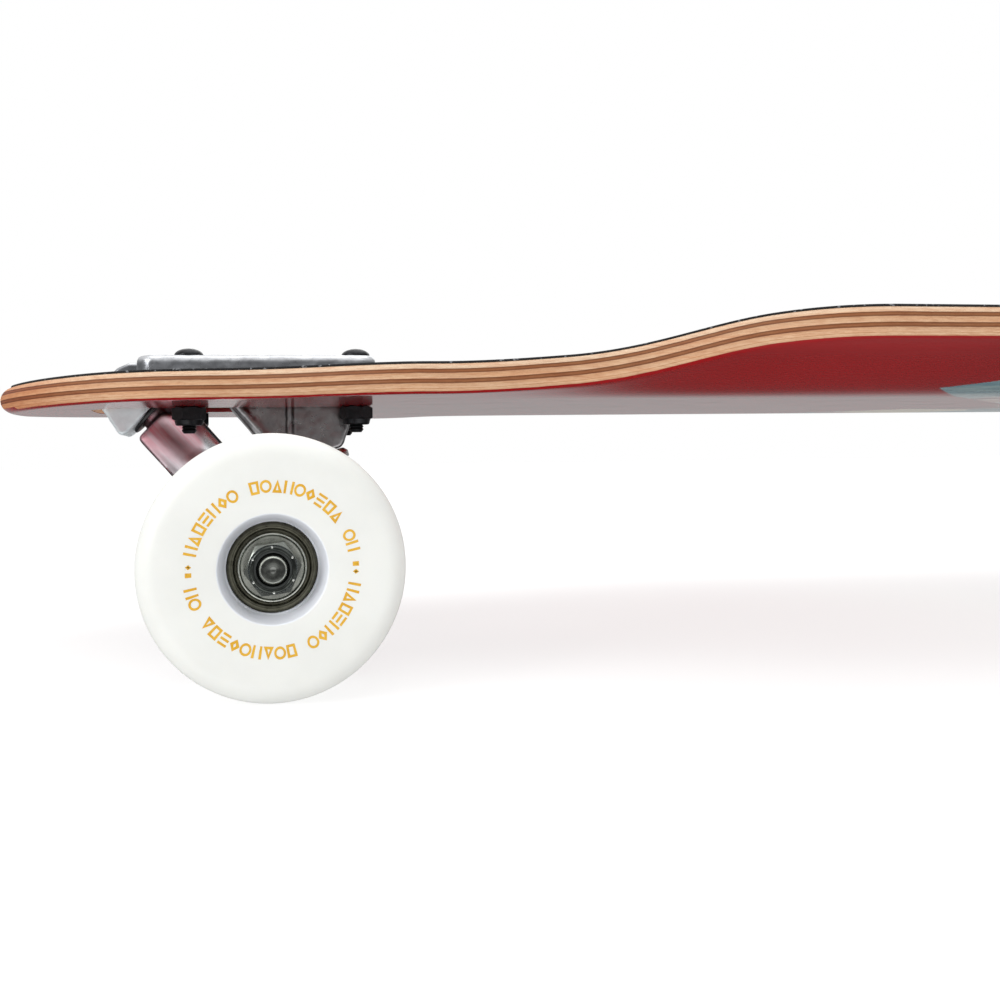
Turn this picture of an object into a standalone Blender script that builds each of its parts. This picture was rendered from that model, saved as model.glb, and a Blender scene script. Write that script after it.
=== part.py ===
"""Drop-through longboard skateboard: pressed plywood deck, grip tape, two
kingpin trucks mounted through the deck, and four wheels on ball bearings.

Row frame: metres, +Z up, +X along the board towards the tail, the nose at -X.
The origin is the point on the ground under the board's centre.
"""
import math

import bmesh
import bpy
from mathutils import Matrix, Vector

MM = 0.001

# ---- deck ------------------------------------------------------------------
DECK_HALF_LENGTH = 470.0      # the board is 940 mm long
DECK_UNDERSIDE = 76.3         # height of the flat middle of the underside
DECK_THICKNESS = 8.45         # seven plies of maple
GRIP_GAP = 0.15
GRIP_THICKNESS = 0.8
NOSE_HALF_WIDTH = 65.0        # rounded ends, cut in to clear the wheels
NOSE_LENGTH = 90.0
WAIST_GROWTH = 22.0           # widening inboard of the wheels
WAIST_START, WAIST_END = 72.0, 130.0
FLARE = 35.0                  # step out to the standing platform
FLARE_START, FLARE_END = 169.0, 249.0
CONCAVE_RISE = 12.0           # edges of the platform above its middle
CONCAVE_INNER, CONCAVE_OUTER = 60.0, 121.0
CONCAVE_START, CONCAVE_END = 131.0, 219.5
TIP_DROOP = 1.6
TIP_DROOP_LENGTH = 55.0
DECK_COLUMNS, DECK_ROWS = 44, 8
SLOT_U = (-57.8, 30.6)        # drop-through cut-out along the board
SLOT_HALF_WIDTH = 15.0

# ---- truck, in its own frame: u inboard, v across, z up ----------------------
TRUCK_X = 382.0               # bolt pattern's centre from the board's centre
BOLT_U, BOLT_V = 26.99, 20.64
SPARE_HOLE_U = -36.5
BOLT_RADIUS = 2.4
HOLE_RADIUS = 2.75
FLANGE_U = (-43.4, 33.5)
FLANGE_HALF_WIDTH = 28.5
FLANGE_Z = (86.0, 92.6)
BOSS_HALF_WIDTH = 12.0
WEDGE_HALF_WIDTH = 12.5

# pivot: ball centre, and the direction the pivot nose points (into the boss)
PIVOT = Vector((-45.0, 0.0, 81.0))
NOSE_DIR = Vector((-0.740, 0.0, 0.673)).normalized()
PIVOT_MOUTH = 6.8             # from the ball's centre to the boss's face

# kingpin: centre of the bushing seat, and the way the pin runs down
SEAT = Vector((12.4, 0.0, 60.0))
KING_DIR = Vector((0.2756, 0.0, -0.9613)).normalized()
KING_RADIUS = 4.75
RING_CENTRE = 21.1            # along the pin from the seat
RING_HALF = 4.5
RING_RADIUS, RING_HOLE = 14.5, 8.7
KING_END = 48.0

# axle, wheels and bearings
AXLE = Vector((-2.7, 0.0, 32.5))
AXLE_RADIUS = 4.0
AXLE_HALF_LENGTH = 123.8
HANGER_HALF = 90.0
BEAM_RADIUS, BEAM_END_RADIUS = 9.5, 8.4
WHEEL_RADIUS = 32.5
WHEEL_Y = (77.5, 121.5)
BEARING_RADIUS, BEARING_WIDTH = 11.0, 7.0
BEARING_INNER_Y, BEARING_OUTER_Y = 91.0, 108.0
WHEEL_STEPS = 28
GAP = 0.3


# ---- small helpers -----------------------------------------------------------
def smoothstep(a, b, x):
    s = min(1.0, max(0.0, (x - a) / (b - a)))
    return s * s * (3.0 - 2.0 * s)


def material(name, colour, roughness, metallic):
    mat = bpy.data.materials.new(name)
    mat.use_nodes = True
    shader = mat.node_tree.nodes["Principled BSDF"]
    shader.inputs["Base Color"].default_value = (*colour, 1.0)
    shader.inputs["Roughness"].default_value = roughness
    shader.inputs["Metallic"].default_value = metallic
    return mat


def link(obj):
    PART.objects.link(obj)
    return obj


def unlink(obj):
    for collection in list(obj.users_collection):
        collection.objects.unlink(obj)


def applied(obj):
    """The object with its modifiers applied to its mesh."""
    bpy.context.view_layer.update()
    graph = bpy.context.evaluated_depsgraph_get()
    mesh = bpy.data.meshes.new_from_object(obj.evaluated_get(graph))
    obj.modifiers.clear()
    obj.data = mesh
    return obj


def tidy(obj, dissolve=False):
    """Doubles merged, flat faces joined if asked, and all faces turned out."""
    bm = bmesh.new()
    bm.from_mesh(obj.data)
    bmesh.ops.remove_doubles(bm, verts=bm.verts, dist=1e-6)
    if dissolve:
        bmesh.ops.dissolve_limit(
            bm, angle_limit=0.002, verts=bm.verts, edges=bm.edges
        )
    bmesh.ops.recalc_face_normals(bm, faces=bm.faces)
    bm.to_mesh(obj.data)
    bm.free()
    return obj


def bevelled(obj, width, segments=1, angle=40.0):
    mod = obj.modifiers.new("Bevel", "BEVEL")
    mod.width = width * MM
    mod.segments = segments
    mod.limit_method = "ANGLE"
    mod.angle_limit = math.radians(angle)
    mod.use_clamp_overlap = True
    return applied(obj)


def boolean(obj, other, operation):
    """obj joined with, or cut by, other, which is then dropped."""
    mod = obj.modifiers.new("Boolean", "BOOLEAN")
    mod.operation = operation
    mod.object = other
    applied(obj)
    unlink(other)
    bpy.data.objects.remove(other)
    return obj


def along(origin, direction, roll=0.0):
    """Placement whose local Z runs along direction from origin, in millimetres."""
    z = Vector(direction).normalized()
    helper = Vector((0.0, 1.0, 0.0))
    if abs(z.dot(helper)) > 0.9:
        helper = Vector((0.0, 0.0, 1.0))
    x = helper.cross(z).normalized()
    y = z.cross(x)
    turn = Matrix((x, y, z)).transposed().to_4x4()
    return Matrix.Translation(Vector(origin) * MM) @ turn @ Matrix.Rotation(roll, 4, "Z")


def baked(obj, placement):
    """The placement moved into the mesh, so that pieces can be joined."""
    obj.data.transform(placement)
    obj.matrix_world = Matrix.Identity(4)
    bpy.context.view_layer.update()
    return obj


def turned(name, profile, steps, placement, ring=False):
    """A turned piece: (radius, height) points from the top down its outer side."""
    mesh = bpy.data.meshes.new(name)
    points = [(r * MM, 0.0, h * MM) for r, h in profile]
    edges = [(i, i + 1) for i in range(len(points) - 1)]
    if ring:
        edges.append((len(points) - 1, 0))
    mesh.from_pydata(points, edges, [])
    obj = link(bpy.data.objects.new(name, mesh))
    mod = obj.modifiers.new("Screw", "SCREW")
    mod.axis = "Z"
    mod.angle = math.tau
    mod.steps = steps
    mod.render_steps = steps
    mod.use_merge_vertices = True
    mod.merge_threshold = 0.00001
    tidy(applied(obj))
    return baked(obj, placement)


def outline(name, points, half_width):
    """A flat (u, z) outline extruded the same way to both sides of v = 0."""
    curve = bpy.data.curves.new(name, "CURVE")
    curve.dimensions = "2D"
    curve.fill_mode = "BOTH"
    curve.extrude = half_width * MM
    spline = curve.splines.new("POLY")
    spline.points.add(len(points) - 1)
    for point, (u, z) in zip(spline.points, points):
        point.co = (u * MM, z * MM, 0.0, 1.0)
    spline.use_cyclic_u = True
    guide = link(bpy.data.objects.new(name + "_outline", curve))
    bpy.context.view_layer.update()
    graph = bpy.context.evaluated_depsgraph_get()
    mesh = bpy.data.meshes.new_from_object(guide.evaluated_get(graph))
    unlink(guide)
    bpy.data.objects.remove(guide)
    mesh.transform(Matrix.Rotation(math.pi / 2, 4, "X"))
    obj = link(bpy.data.objects.new(name, mesh))
    return tidy(obj, dissolve=True)


def block(name, low, high):
    size = Vector(high) - Vector(low)
    middle = (Vector(high) + Vector(low)) / 2
    bpy.ops.mesh.primitive_cube_add(size=1.0)
    obj = bpy.context.active_object
    unlink(obj)
    obj.name = name
    link(obj)
    obj.data.transform(
        Matrix.Translation(middle * MM)
        @ Matrix.Diagonal((*(size * MM), 1.0))
    )
    return obj


def prism(name, radius, low, high, sides, placement, taper=1.0):
    """A cone or straight prism with its ends at low and high on the axis."""
    bpy.ops.mesh.primitive_cone_add(
        vertices=sides,
        radius1=radius * MM,
        radius2=radius * taper * MM,
        depth=(high - low) * MM,
        end_fill_type="NGON",
    )
    obj = bpy.context.active_object
    unlink(obj)
    obj.name = name
    link(obj)
    obj.data.transform(Matrix.Translation((0.0, 0.0, (low + high) / 2 * MM)))
    return baked(obj, placement)


def bored(obj, radius, low, high, placement, sides=16):
    cutter = prism("cutter", radius, low, high, sides, placement)
    return boolean(obj, cutter, "DIFFERENCE")


def finish(obj, name, mat, smooth=True):
    obj.name = name
    obj.data.name = name
    obj.data.materials.clear()
    obj.data.materials.append(mat)
    if smooth:
        obj.data.shade_smooth()
        obj.data.set_sharp_from_angle(angle=math.radians(35))
    return obj


def copied(obj, name, placement):
    """Another piece of the same mesh, placed by its own matrix."""
    twin = link(bpy.data.objects.new(name, obj.data))
    twin.matrix_world = placement
    return twin


def hung(obj, parent, pivot):
    """obj's origin moved to pivot, in metres, and parented there."""
    world = obj.matrix_world.copy()
    shift = Matrix.Translation(pivot)
    obj.data.transform(shift.inverted() @ world)
    obj.parent = parent
    obj.matrix_world = shift
    bpy.context.view_layer.update()
    return obj


# ---- deck surface ------------------------------------------------------------
def half_width(from_tip):
    q = from_tip + 1.5
    nose = 1.0
    if q < NOSE_LENGTH:
        nose = (1.0 - (1.0 - q / NOSE_LENGTH) ** 2.2) ** 0.58
    return (
        NOSE_HALF_WIDTH * nose
        + WAIST_GROWTH * smoothstep(WAIST_START, WAIST_END, from_tip)
        + FLARE * smoothstep(FLARE_START, FLARE_END, from_tip)
    )


def underside(from_tip, across):
    depth = smoothstep(CONCAVE_START, CONCAVE_END, from_tip)
    rise = CONCAVE_RISE * depth * smoothstep(
        CONCAVE_INNER, CONCAVE_OUTER, abs(across)
    )
    near_tip = max(0.0, 1.0 - from_tip / TIP_DROOP_LENGTH)
    return DECK_UNDERSIDE + rise - TIP_DROOP * near_tip**1.6


def sheet(name, base, thickness, inset):
    """A pressed sheet over the deck's plan, its columns closer near the tips."""
    bpy.ops.mesh.primitive_grid_add(
        x_subdivisions=DECK_COLUMNS, y_subdivisions=DECK_ROWS, size=2.0
    )
    obj = bpy.context.active_object
    unlink(obj)
    obj.name = name
    link(obj)
    bm = bmesh.new()
    bm.from_mesh(obj.data)
    for vert in bm.verts:
        s, t = vert.co.x, vert.co.y
        from_tip = DECK_HALF_LENGTH * (1.0 - abs(s)) ** 1.55
        x = math.copysign(DECK_HALF_LENGTH - inset - from_tip, s)
        if abs(s) < 1e-6:
            x = 0.0
        across = t * (half_width(from_tip) - inset)
        z = underside(from_tip, across) + base
        vert.co = Vector((x, across, z)) * MM
    made = bmesh.ops.extrude_face_region(bm, geom=bm.faces[:])
    raised = [v for v in made["geom"] if isinstance(v, bmesh.types.BMVert)]
    bmesh.ops.translate(bm, verts=raised, vec=(0.0, 0.0, thickness * MM))
    bmesh.ops.recalc_face_normals(bm, faces=bm.faces)
    bm.to_mesh(obj.data)
    bm.free()
    return obj


def cut_for_truck(obj, end):
    """The drop-through slot and four bolt holes at one end (-1 nose, +1 tail)."""
    x = [end * (TRUCK_X - u) for u in SLOT_U]
    slot = block(
        "slot",
        (min(x), -SLOT_HALF_WIDTH, 60.0),
        (max(x), SLOT_HALF_WIDTH, 110.0),
    )
    boolean(obj, bevel_upright(slot, 6.0), "DIFFERENCE")
    for u in (-BOLT_U, BOLT_U):
        for v in (-BOLT_V, BOLT_V):
            place = along((end * (TRUCK_X - u), v, 0.0), (0, 0, 1))
            bored(obj, HOLE_RADIUS, 60.0, 110.0, place, sides=8)
    return obj


def bevel_upright(obj, width, segments=2):
    """Only the edges that stand along Z rounded."""
    bm = bmesh.new()
    bm.from_mesh(obj.data)
    upright = [
        e
        for e in bm.edges
        if abs((e.verts[0].co - e.verts[1].co).normalized().z) > 0.99
    ]
    bmesh.ops.bevel(
        bm,
        geom=upright,
        offset=width * MM,
        offset_type="OFFSET",
        segments=segments,
        profile=0.5,
        affect="EDGES",
    )
    bm.to_mesh(obj.data)
    bm.free()
    return obj


# ---- scene and materials -------------------------------------------------------
for old in list(bpy.data.objects):
    bpy.data.objects.remove(old, do_unlink=True)

PART = bpy.data.collections.new("longboard_skateboard")
bpy.context.scene.collection.children.link(PART)

MAPLE = material("maple_plywood", (0.70, 0.45, 0.24), 0.45, 0.0)
GRIP = material("grip_tape", (0.012, 0.012, 0.013), 0.95, 0.0)
CAST = material("cast_aluminium", (0.50, 0.51, 0.53), 0.45, 1.0)
POLISHED = material("polished_aluminium", (0.65, 0.66, 0.68), 0.22, 1.0)
STEEL = material("plated_steel", (0.42, 0.42, 0.40), 0.30, 1.0)
BLACK = material("black_oxide_steel", (0.02, 0.02, 0.022), 0.38, 0.8)
URETHANE = material("urethane_white", (0.86, 0.86, 0.84), 0.42, 0.0)
BUSHING = material("urethane_black", (0.02, 0.02, 0.02), 0.5, 0.0)
BEARING = material("bearing_steel", (0.30, 0.30, 0.28), 0.30, 1.0)

# ---- deck and grip tape ----------------------------------------------------------
deck = sheet("deck", 0.0, DECK_THICKNESS, 0.0)
bevelled(deck, 0.8, segments=1, angle=60.0)
grip = sheet("grip_tape", DECK_THICKNESS + GRIP_GAP, GRIP_THICKNESS, 0.5)
for end in (-1, 1):
    cut_for_truck(deck, end)
    cut_for_truck(grip, end)
finish(deck, "deck", MAPLE)
finish(grip, "grip_tape", GRIP)

# ---- baseplate -------------------------------------------------------------------
flange = block(
    "baseplate",
    (FLANGE_U[0], -FLANGE_HALF_WIDTH, FLANGE_Z[0]),
    (FLANGE_U[1], FLANGE_HALF_WIDTH, FLANGE_Z[1]),
)
bevel_upright(flange, 6.0)
bevelled(flange, 1.1, segments=1, angle=60.0)

FACE_DIR = Vector((NOSE_DIR.z, 0.0, -NOSE_DIR.x))      # up along the boss's face
mouth = PIVOT - NOSE_DIR * PIVOT_MOUTH
low = mouth - FACE_DIR * 10.7
high = mouth + FACE_DIR * ((FLANGE_Z[0] + 0.8 - mouth.z) / FACE_DIR.z)
boss = outline(
    "boss",
    [
        (FLANGE_U[0] + 4.0, 91.6),
        (-46.5, 91.4),
        (-50.6, 89.6),
        (-54.2, 85.6),
        (-56.2, 80.5),
        (-56.0, 77.0),
        (-50.2, 68.2),
        (-49.0, 67.4),
        (low.x, low.z),
        (high.x, high.z),
    ],
    BOSS_HALF_WIDTH,
)
bevelled(boss, 1.5, segments=1, angle=50.0)
boolean(flange, boss, "UNION")

seat_along = Vector((-KING_DIR.z, 0.0, KING_DIR.x))     # inboard along the seat
seat_out = SEAT - seat_along * 10.5
seat_in = SEAT + seat_along * 11.2
wedge = outline(
    "wedge",
    [
        (-17.5, 87.2),
        (-17.5, 81.0),
        (seat_out.x, seat_out.z),
        (seat_in.x, seat_in.z),
        (26.1, 71.3),
        (28.5, 78.0),
        (28.5, 87.2),
    ],
    WEDGE_HALF_WIDTH,
)
bevelled(wedge, 1.0, segments=1, angle=50.0)
boolean(flange, wedge, "UNION")

king_place = along(SEAT, KING_DIR)
bored(flange, KING_RADIUS + GAP, -60.0, 20.0, king_place, sides=16)
bored(flange, 7.9, -60.0, -23.7, king_place, sides=16)

# the pivot cup's pocket: a cone that ends round the ball
cup_place = along(PIVOT, -NOSE_DIR)
POCKET_BALL, POCKET_MOUTH = 7.0, 8.1


def cup_shape(ball, mouth_radius, reach, steps=3):
    """Half outline of a rounded cone, from its mouth to its closed end."""
    points = [(mouth_radius, reach), (ball, 0.0)]
    for i in range(1, steps + 1):
        a = math.pi / 2 * i / steps
        points.append((ball * math.cos(a) if i < steps else 0.0, -ball * math.sin(a)))
    return points


pocket = turned(
    "pocket",
    [(0.0, 14.0), (POCKET_MOUTH + 1.2, 14.0)]
    + cup_shape(POCKET_BALL + GAP, POCKET_MOUTH + GAP, PIVOT_MOUTH),
    16,
    cup_place,
)
boolean(flange, pocket, "DIFFERENCE")
for u in (SPARE_HOLE_U, -BOLT_U, BOLT_U):
    for v in (-BOLT_V, BOLT_V):
        bored(flange, HOLE_RADIUS, 80.0, 100.0, along((u, v, 0), (0, 0, 1)), sides=8)
baseplate = finish(tidy(flange), "baseplate", CAST)

# ---- pivot cup ---------------------------------------------------------------------
inner = cup_shape(5.75, 6.65, PIVOT_MOUTH + 1.3)
outer = cup_shape(POCKET_BALL, POCKET_MOUTH, PIVOT_MOUTH)
cup_profile = (
    inner[:0:-1]
    + [(6.65, PIVOT_MOUTH + 1.3), (9.4, PIVOT_MOUTH + 1.3), (9.4, PIVOT_MOUTH + GAP)]
    + [(POCKET_MOUTH, PIVOT_MOUTH + GAP)]
    + outer[1:]
)
pivot_cup = finish(turned("pivot_cup", cup_profile, 16, cup_place), "pivot_cup", BUSHING)

# ---- kingpin and what it carries -----------------------------------------------------
kingpin = turned(
    "kingpin",
    [
        (0.0, -24.0 - 5.2), (6.4, -24.0 - 5.2), (7.3, -24.0 - 4.2),
        (7.3, -24.0), (KING_RADIUS, -24.0), (KING_RADIUS, KING_END - 1.0),
        (KING_RADIUS - 0.9, KING_END), (0.0, KING_END),
    ][::-1],
    16,
    king_place,
)
finish(kingpin, "kingpin", STEEL)


def spool(name, low_s, high_s, radius, hole, mat, steps=16, waist=0.0, chamfer=1.0):
    """A ring on the kingpin between two places along it."""
    mid = (low_s + high_s) / 2
    profile = [
        (hole, high_s), (radius - chamfer, high_s), (radius, high_s - chamfer),
        (radius - waist, mid), (radius, low_s + chamfer),
        (radius - chamfer, low_s), (hole, low_s),
    ]
    return finish(turned(name, profile, steps, king_place, ring=True), name, mat)


bushing_board = spool(
    "bushing_board", 1.9, RING_CENTRE - RING_HALF - GAP, 12.2, 5.2, BUSHING, waist=0.6
)
bushing_road = spool(
    "bushing_road", RING_CENTRE + RING_HALF + GAP, 36.4, 11.4, 5.2, BUSHING, waist=0.6
)


def cup_washer(name, flat, rim, lip_radius):
    """A pressed washer whose rim turns up from flat towards rim."""
    way = math.copysign(1.0, rim - flat)
    back = flat - way * 1.2
    profile = [
        (5.2, back), (lip_radius, back), (lip_radius + 0.9, back + way * 0.9),
        (lip_radius + 0.9, rim), (lip_radius, rim), (lip_radius, flat), (5.2, flat),
    ]
    return finish(turned(name, profile, 16, king_place, ring=True), name, STEEL)


cup_washer_board = cup_washer("cup_washer_board", 1.5, 3.6, 12.6)
cup_washer_road = cup_washer("cup_washer_road", 36.8, 34.8, 11.9)

kingpin_nut = prism("kingpin_nut", 8.25, 38.4, 44.4, 6, king_place)
collar = prism("collar", 7.0, 44.0, 46.2, 12, king_place)
boolean(kingpin_nut, collar, "UNION")
bored(kingpin_nut, KING_RADIUS + GAP, 30.0, 60.0, king_place, sides=12)
finish(kingpin_nut, "kingpin_nut", STEEL, smooth=False)

# ---- hanger --------------------------------------------------------------------------
axle_place = along(AXLE, (0, 1, 0))
hanger = turned(
    "hanger",
    [
        (0.0, HANGER_HALF), (BEAM_END_RADIUS - 0.6, HANGER_HALF),
        (BEAM_END_RADIUS, HANGER_HALF - 0.8), (BEAM_END_RADIUS, 70.0),
        (BEAM_RADIUS, 40.0), (BEAM_RADIUS, -40.0), (BEAM_END_RADIUS, -70.0),
        (BEAM_END_RADIUS, -HANGER_HALF + 0.8),
        (BEAM_END_RADIUS - 0.6, -HANGER_HALF), (0.0, -HANGER_HALF),
    ],
    20,
    axle_place,
)
# the arm runs from the axle up to the pivot, its end square to the nose
arm_dir = (AXLE - Vector((-37.8, 0.0, 72.9))).normalized()
end_low = Vector((-44.4, 0.0, 66.6))
end_high = end_low + FACE_DIR * ((75.0 - end_low.z) / FACE_DIR.z)
right_top = Vector((-25.6, 0.0, 75.0))
left_foot = end_low + arm_dir * 44.0
right_foot = right_top + arm_dir * 44.0
arm = outline(
    "arm",
    [
        (end_low.x, end_low.z), (end_high.x, end_high.z),
        (right_top.x, right_top.z), (right_foot.x, right_foot.z),
        (AXLE.x, AXLE.z - 4.0), (left_foot.x, left_foot.z),
    ],
    9.5,
)
bevelled(arm, 1.2, segments=1, angle=30.0)
boolean(hanger, arm, "UNION")

# fairing: a flat plate that spreads from the arm to the axle's beam
spread = [
    (9.0, 14.0), (12.0, 26.0), (20.0, 38.0), (38.0, 47.0), (60.0, 51.0),
    (60.0, 55.5),
]
fairing = outline(
    "fairing",
    [(y, s) for y, s in spread] + [(-y, s) for y, s in reversed(spread)],
    4.5,
)
# its (u, z) plane is laid over the plane of v and the arm's direction
arm_top = Vector((-37.8, 0.0, 72.9))
arm_side = Vector((-arm_dir.z, 0.0, arm_dir.x))
plate = Matrix((Vector((0, 1, 0)), arm_side, arm_dir)).transposed().to_4x4()
if plate.determinant() < 0:
    plate = Matrix((Vector((0, 1, 0)), -arm_side, arm_dir)).transposed().to_4x4()
baked(fairing, Matrix.Translation(arm_top * MM) @ plate)
boolean(hanger, tidy(fairing, dissolve=True), "UNION")

ring_low, ring_high = RING_CENTRE - RING_HALF, RING_CENTRE + RING_HALF
ring = turned(
    "ring",
    [
        (0.0, ring_high), (RING_RADIUS - 1.0, ring_high),
        (RING_RADIUS, ring_high - 1.0), (RING_RADIUS, ring_low + 1.0),
        (RING_RADIUS - 1.0, ring_low), (0.0, ring_low),
    ],
    20,
    king_place,
)
boolean(hanger, ring, "UNION")
ring_middle = SEAT + KING_DIR * RING_CENTRE
tongue = outline(
    "tongue",
    [
        tuple((ring_middle + seat_along * a + KING_DIR * b).xz)
        for a, b in ((-21.0, -4.1), (-7.0, -4.1), (-7.0, 4.1), (-21.0, 4.1))
    ],
    12.5,
)
boolean(hanger, tongue, "UNION")
bored(hanger, RING_HOLE, ring_low - 3.0, ring_high + 3.0, king_place, sides=20)

nose_place = along(PIVOT, -NOSE_DIR)
nose = turned(
    "nose",
    [(0.0, 15.5), (6.6, 15.5)] + cup_shape(5.2, 6.4, 13.0),
    16,
    nose_place,
)
boolean(hanger, nose, "UNION")
bored(hanger, AXLE_RADIUS + GAP, -130.0, 130.0, axle_place, sides=16)
finish(tidy(hanger), "hanger", POLISHED)

# ---- axle, wheels, bearings, washers and nuts, on the -v side -------------------------
axle = turned(
    "axle",
    [
        (0.0, AXLE_HALF_LENGTH), (3.1, AXLE_HALF_LENGTH),
        (AXLE_RADIUS, AXLE_HALF_LENGTH - 0.9),
        (AXLE_RADIUS, 0.9 - AXLE_HALF_LENGTH),
        (3.1, -AXLE_HALF_LENGTH), (0.0, -AXLE_HALF_LENGTH),
    ],
    16,
    axle_place,
)
finish(axle, "axle", STEEL)

flat = WHEEL_RADIUS / math.cos(math.pi / WHEEL_STEPS)   # flats touch the ground
seat_radius = BEARING_RADIUS + GAP
wheel_place = along(AXLE, (0, -1, 0), roll=math.pi / WHEEL_STEPS)
wheel = turned(
    "wheel",
    [
        (13.1, WHEEL_Y[1]), (flat - 5.2, WHEEL_Y[1]),
        (flat - 1.5, WHEEL_Y[1] - 1.5), (flat, WHEEL_Y[1] - 5.2),
        (flat, WHEEL_Y[0] + 5.2), (flat - 1.5, WHEEL_Y[0] + 1.5),
        (flat - 5.2, WHEEL_Y[0]), (13.4, WHEEL_Y[0]),
        (seat_radius, BEARING_INNER_Y - 1.0),
        (seat_radius, BEARING_INNER_Y + BEARING_WIDTH + GAP),
        (9.4, BEARING_INNER_Y + BEARING_WIDTH + GAP),
        (9.4, BEARING_OUTER_Y - GAP), (seat_radius, BEARING_OUTER_Y - GAP),
        (seat_radius, BEARING_OUTER_Y + BEARING_WIDTH + 0.5),
    ],
    WHEEL_STEPS,
    wheel_place,
    ring=True,
)
finish(wheel, "wheel", URETHANE)

plain_place = along(AXLE, (0, -1, 0))


def bearing(name, y):
    top = y + BEARING_WIDTH
    profile = [
        (4.35, top), (6.1, top), (6.5, top - 0.5), (9.0, top - 0.5), (9.4, top),
        (BEARING_RADIUS, top), (BEARING_RADIUS, y), (4.35, y),
    ]
    return finish(
        turned(name, profile, 16, plain_place, ring=True), name, BEARING
    )


bearing_outer = bearing("bearing_outer", BEARING_OUTER_Y)
bearing_inner = bearing("bearing_inner", BEARING_INNER_Y)

face = BEARING_OUTER_Y + BEARING_WIDTH
washer = turned(
    "axle_washer",
    [(4.35, face + 1.3), (8.3, face + 1.3), (8.3, face + GAP), (4.35, face + GAP)],
    16,
    plain_place,
    ring=True,
)
finish(washer, "axle_washer", STEEL)

nut_place = along(AXLE, (0, -1, 0), roll=math.radians(7.0))
axle_nut = prism("axle_nut", 7.33, face + 1.6, face + 6.2, 6, nut_place)
collar = prism("collar", 5.9, face + 6.0, face + 7.9, 12, nut_place)
boolean(axle_nut, collar, "UNION")
bored(axle_nut, AXLE_RADIUS + GAP, face - 5.0, face + 20.0, nut_place, sides=12)
finish(axle_nut, "axle_nut", BLACK, smooth=False)

# ---- mounting bolt and nut, at one corner of the pattern ------------------------------
bolt = turned(
    "mounting_bolt",
    [
        (0.0, FLANGE_Z[1] + 3.3), (2.2, FLANGE_Z[1] + 3.0),
        (3.9, FLANGE_Z[1] + 1.9), (4.6, FLANGE_Z[1] + 0.6),
        (4.6, FLANGE_Z[1] + GAP), (BOLT_RADIUS, FLANGE_Z[1] + GAP),
        (BOLT_RADIUS, 67.7), (0.0, 67.7),
    ],
    12,
    along((-BOLT_U, -BOLT_V, 0.0), (0, 0, 1)),
)
finish(bolt, "mounting_bolt", BLACK)
bolt_nut = prism(
    "mounting_nut", 5.5, 70.2, DECK_UNDERSIDE - GAP, 6,
    along((-BOLT_U, -BOLT_V, 0.0), (0, 0, 1)),
)
bored(bolt_nut, HOLE_RADIUS, 60.0, 90.0, along((-BOLT_U, -BOLT_V, 0.0), (0, 0, 1)), sides=12)
finish(bolt_nut, "mounting_nut", BLACK, smooth=False)

# ---- both trucks placed ----------------------------------------------------------------
TRUCKS = {
    "front": Matrix.Translation((-TRUCK_X * MM, 0.0, 0.0)),
    "rear": Matrix.Rotation(math.pi, 4, "Z") @ Matrix.Translation((-TRUCK_X * MM, 0.0, 0.0)),
}
FIXED = (
    baseplate, pivot_cup, kingpin, kingpin_nut, bushing_board, bushing_road,
    cup_washer_board, cup_washer_road,
)
STEERED = (hanger, axle)
ON_AXLE = (axle_nut, washer)
ROLLING = (wheel, bearing_outer, bearing_inner)
OTHER_SIDE = Matrix.Rotation(math.pi, 4, "Z")

for end, place in TRUCKS.items():
    steer = link(bpy.data.objects.new(f"{end}_steering_axis", None))
    steer.matrix_world = place @ Matrix.Translation(ring_middle * MM)
    bpy.context.view_layer.update()

    for piece in FIXED:
        copied(piece, f"{end}_{piece.name}", place)
    for piece in STEERED:
        twin = copied(piece, f"{end}_{piece.name}", place)
        twin.parent = steer
        twin.matrix_parent_inverse = steer.matrix_world.inverted()

    # the pieces are modelled on the -v side; a half turn about the axle's
    # middle gives the +v side
    about_axle = (
        Matrix.Translation((AXLE.x * MM, 0.0, 0.0))
        @ OTHER_SIDE
        @ Matrix.Translation((-AXLE.x * MM, 0.0, 0.0))
    )
    for side, turn in (("left", Matrix.Identity(4)), ("right", about_axle)):
        if end == "rear":
            side = "right" if side == "left" else "left"
        hub = link(bpy.data.objects.new(f"{end}_{side}_wheel_axis", None))
        hub.matrix_world = place @ Matrix.Translation(AXLE * MM)
        hub.parent = steer
        hub.matrix_parent_inverse = steer.matrix_world.inverted()
        bpy.context.view_layer.update()
        for piece in ROLLING + ON_AXLE:
            twin = copied(piece, f"{end}_{side}_{piece.name}", place @ turn)
            holder = hub if piece in ROLLING else steer
            twin.parent = holder
            twin.matrix_parent_inverse = holder.matrix_world.inverted()

    count = 0
    for du in (0.0, 2.0 * BOLT_U):
        for dv in (0.0, 2.0 * BOLT_V):
            count += 1
            corner = place @ Matrix.Translation((du * MM, dv * MM, 0.0))
            copied(bolt, f"{end}_mounting_bolt_{count}", corner)
            copied(bolt_nut, f"{end}_mounting_nut_{count}", corner)

for piece in FIXED + STEERED + ON_AXLE + ROLLING + (bolt, bolt_nut):
    unlink(piece)
    bpy.data.objects.remove(piece)
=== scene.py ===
"""Looks for the drop-through longboard skateboard: fine meshes and materials
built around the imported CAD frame, with a plain studio, lights and a camera.

Row frame: metres, +Z up, +X along the board from nose to tail. Shapes are
worked out in millimetres, trucks in their own frame (u inboard, v across).
"""
import math

import bmesh
import bpy
import numpy as np
from mathutils import Matrix, Vector, noise


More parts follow.
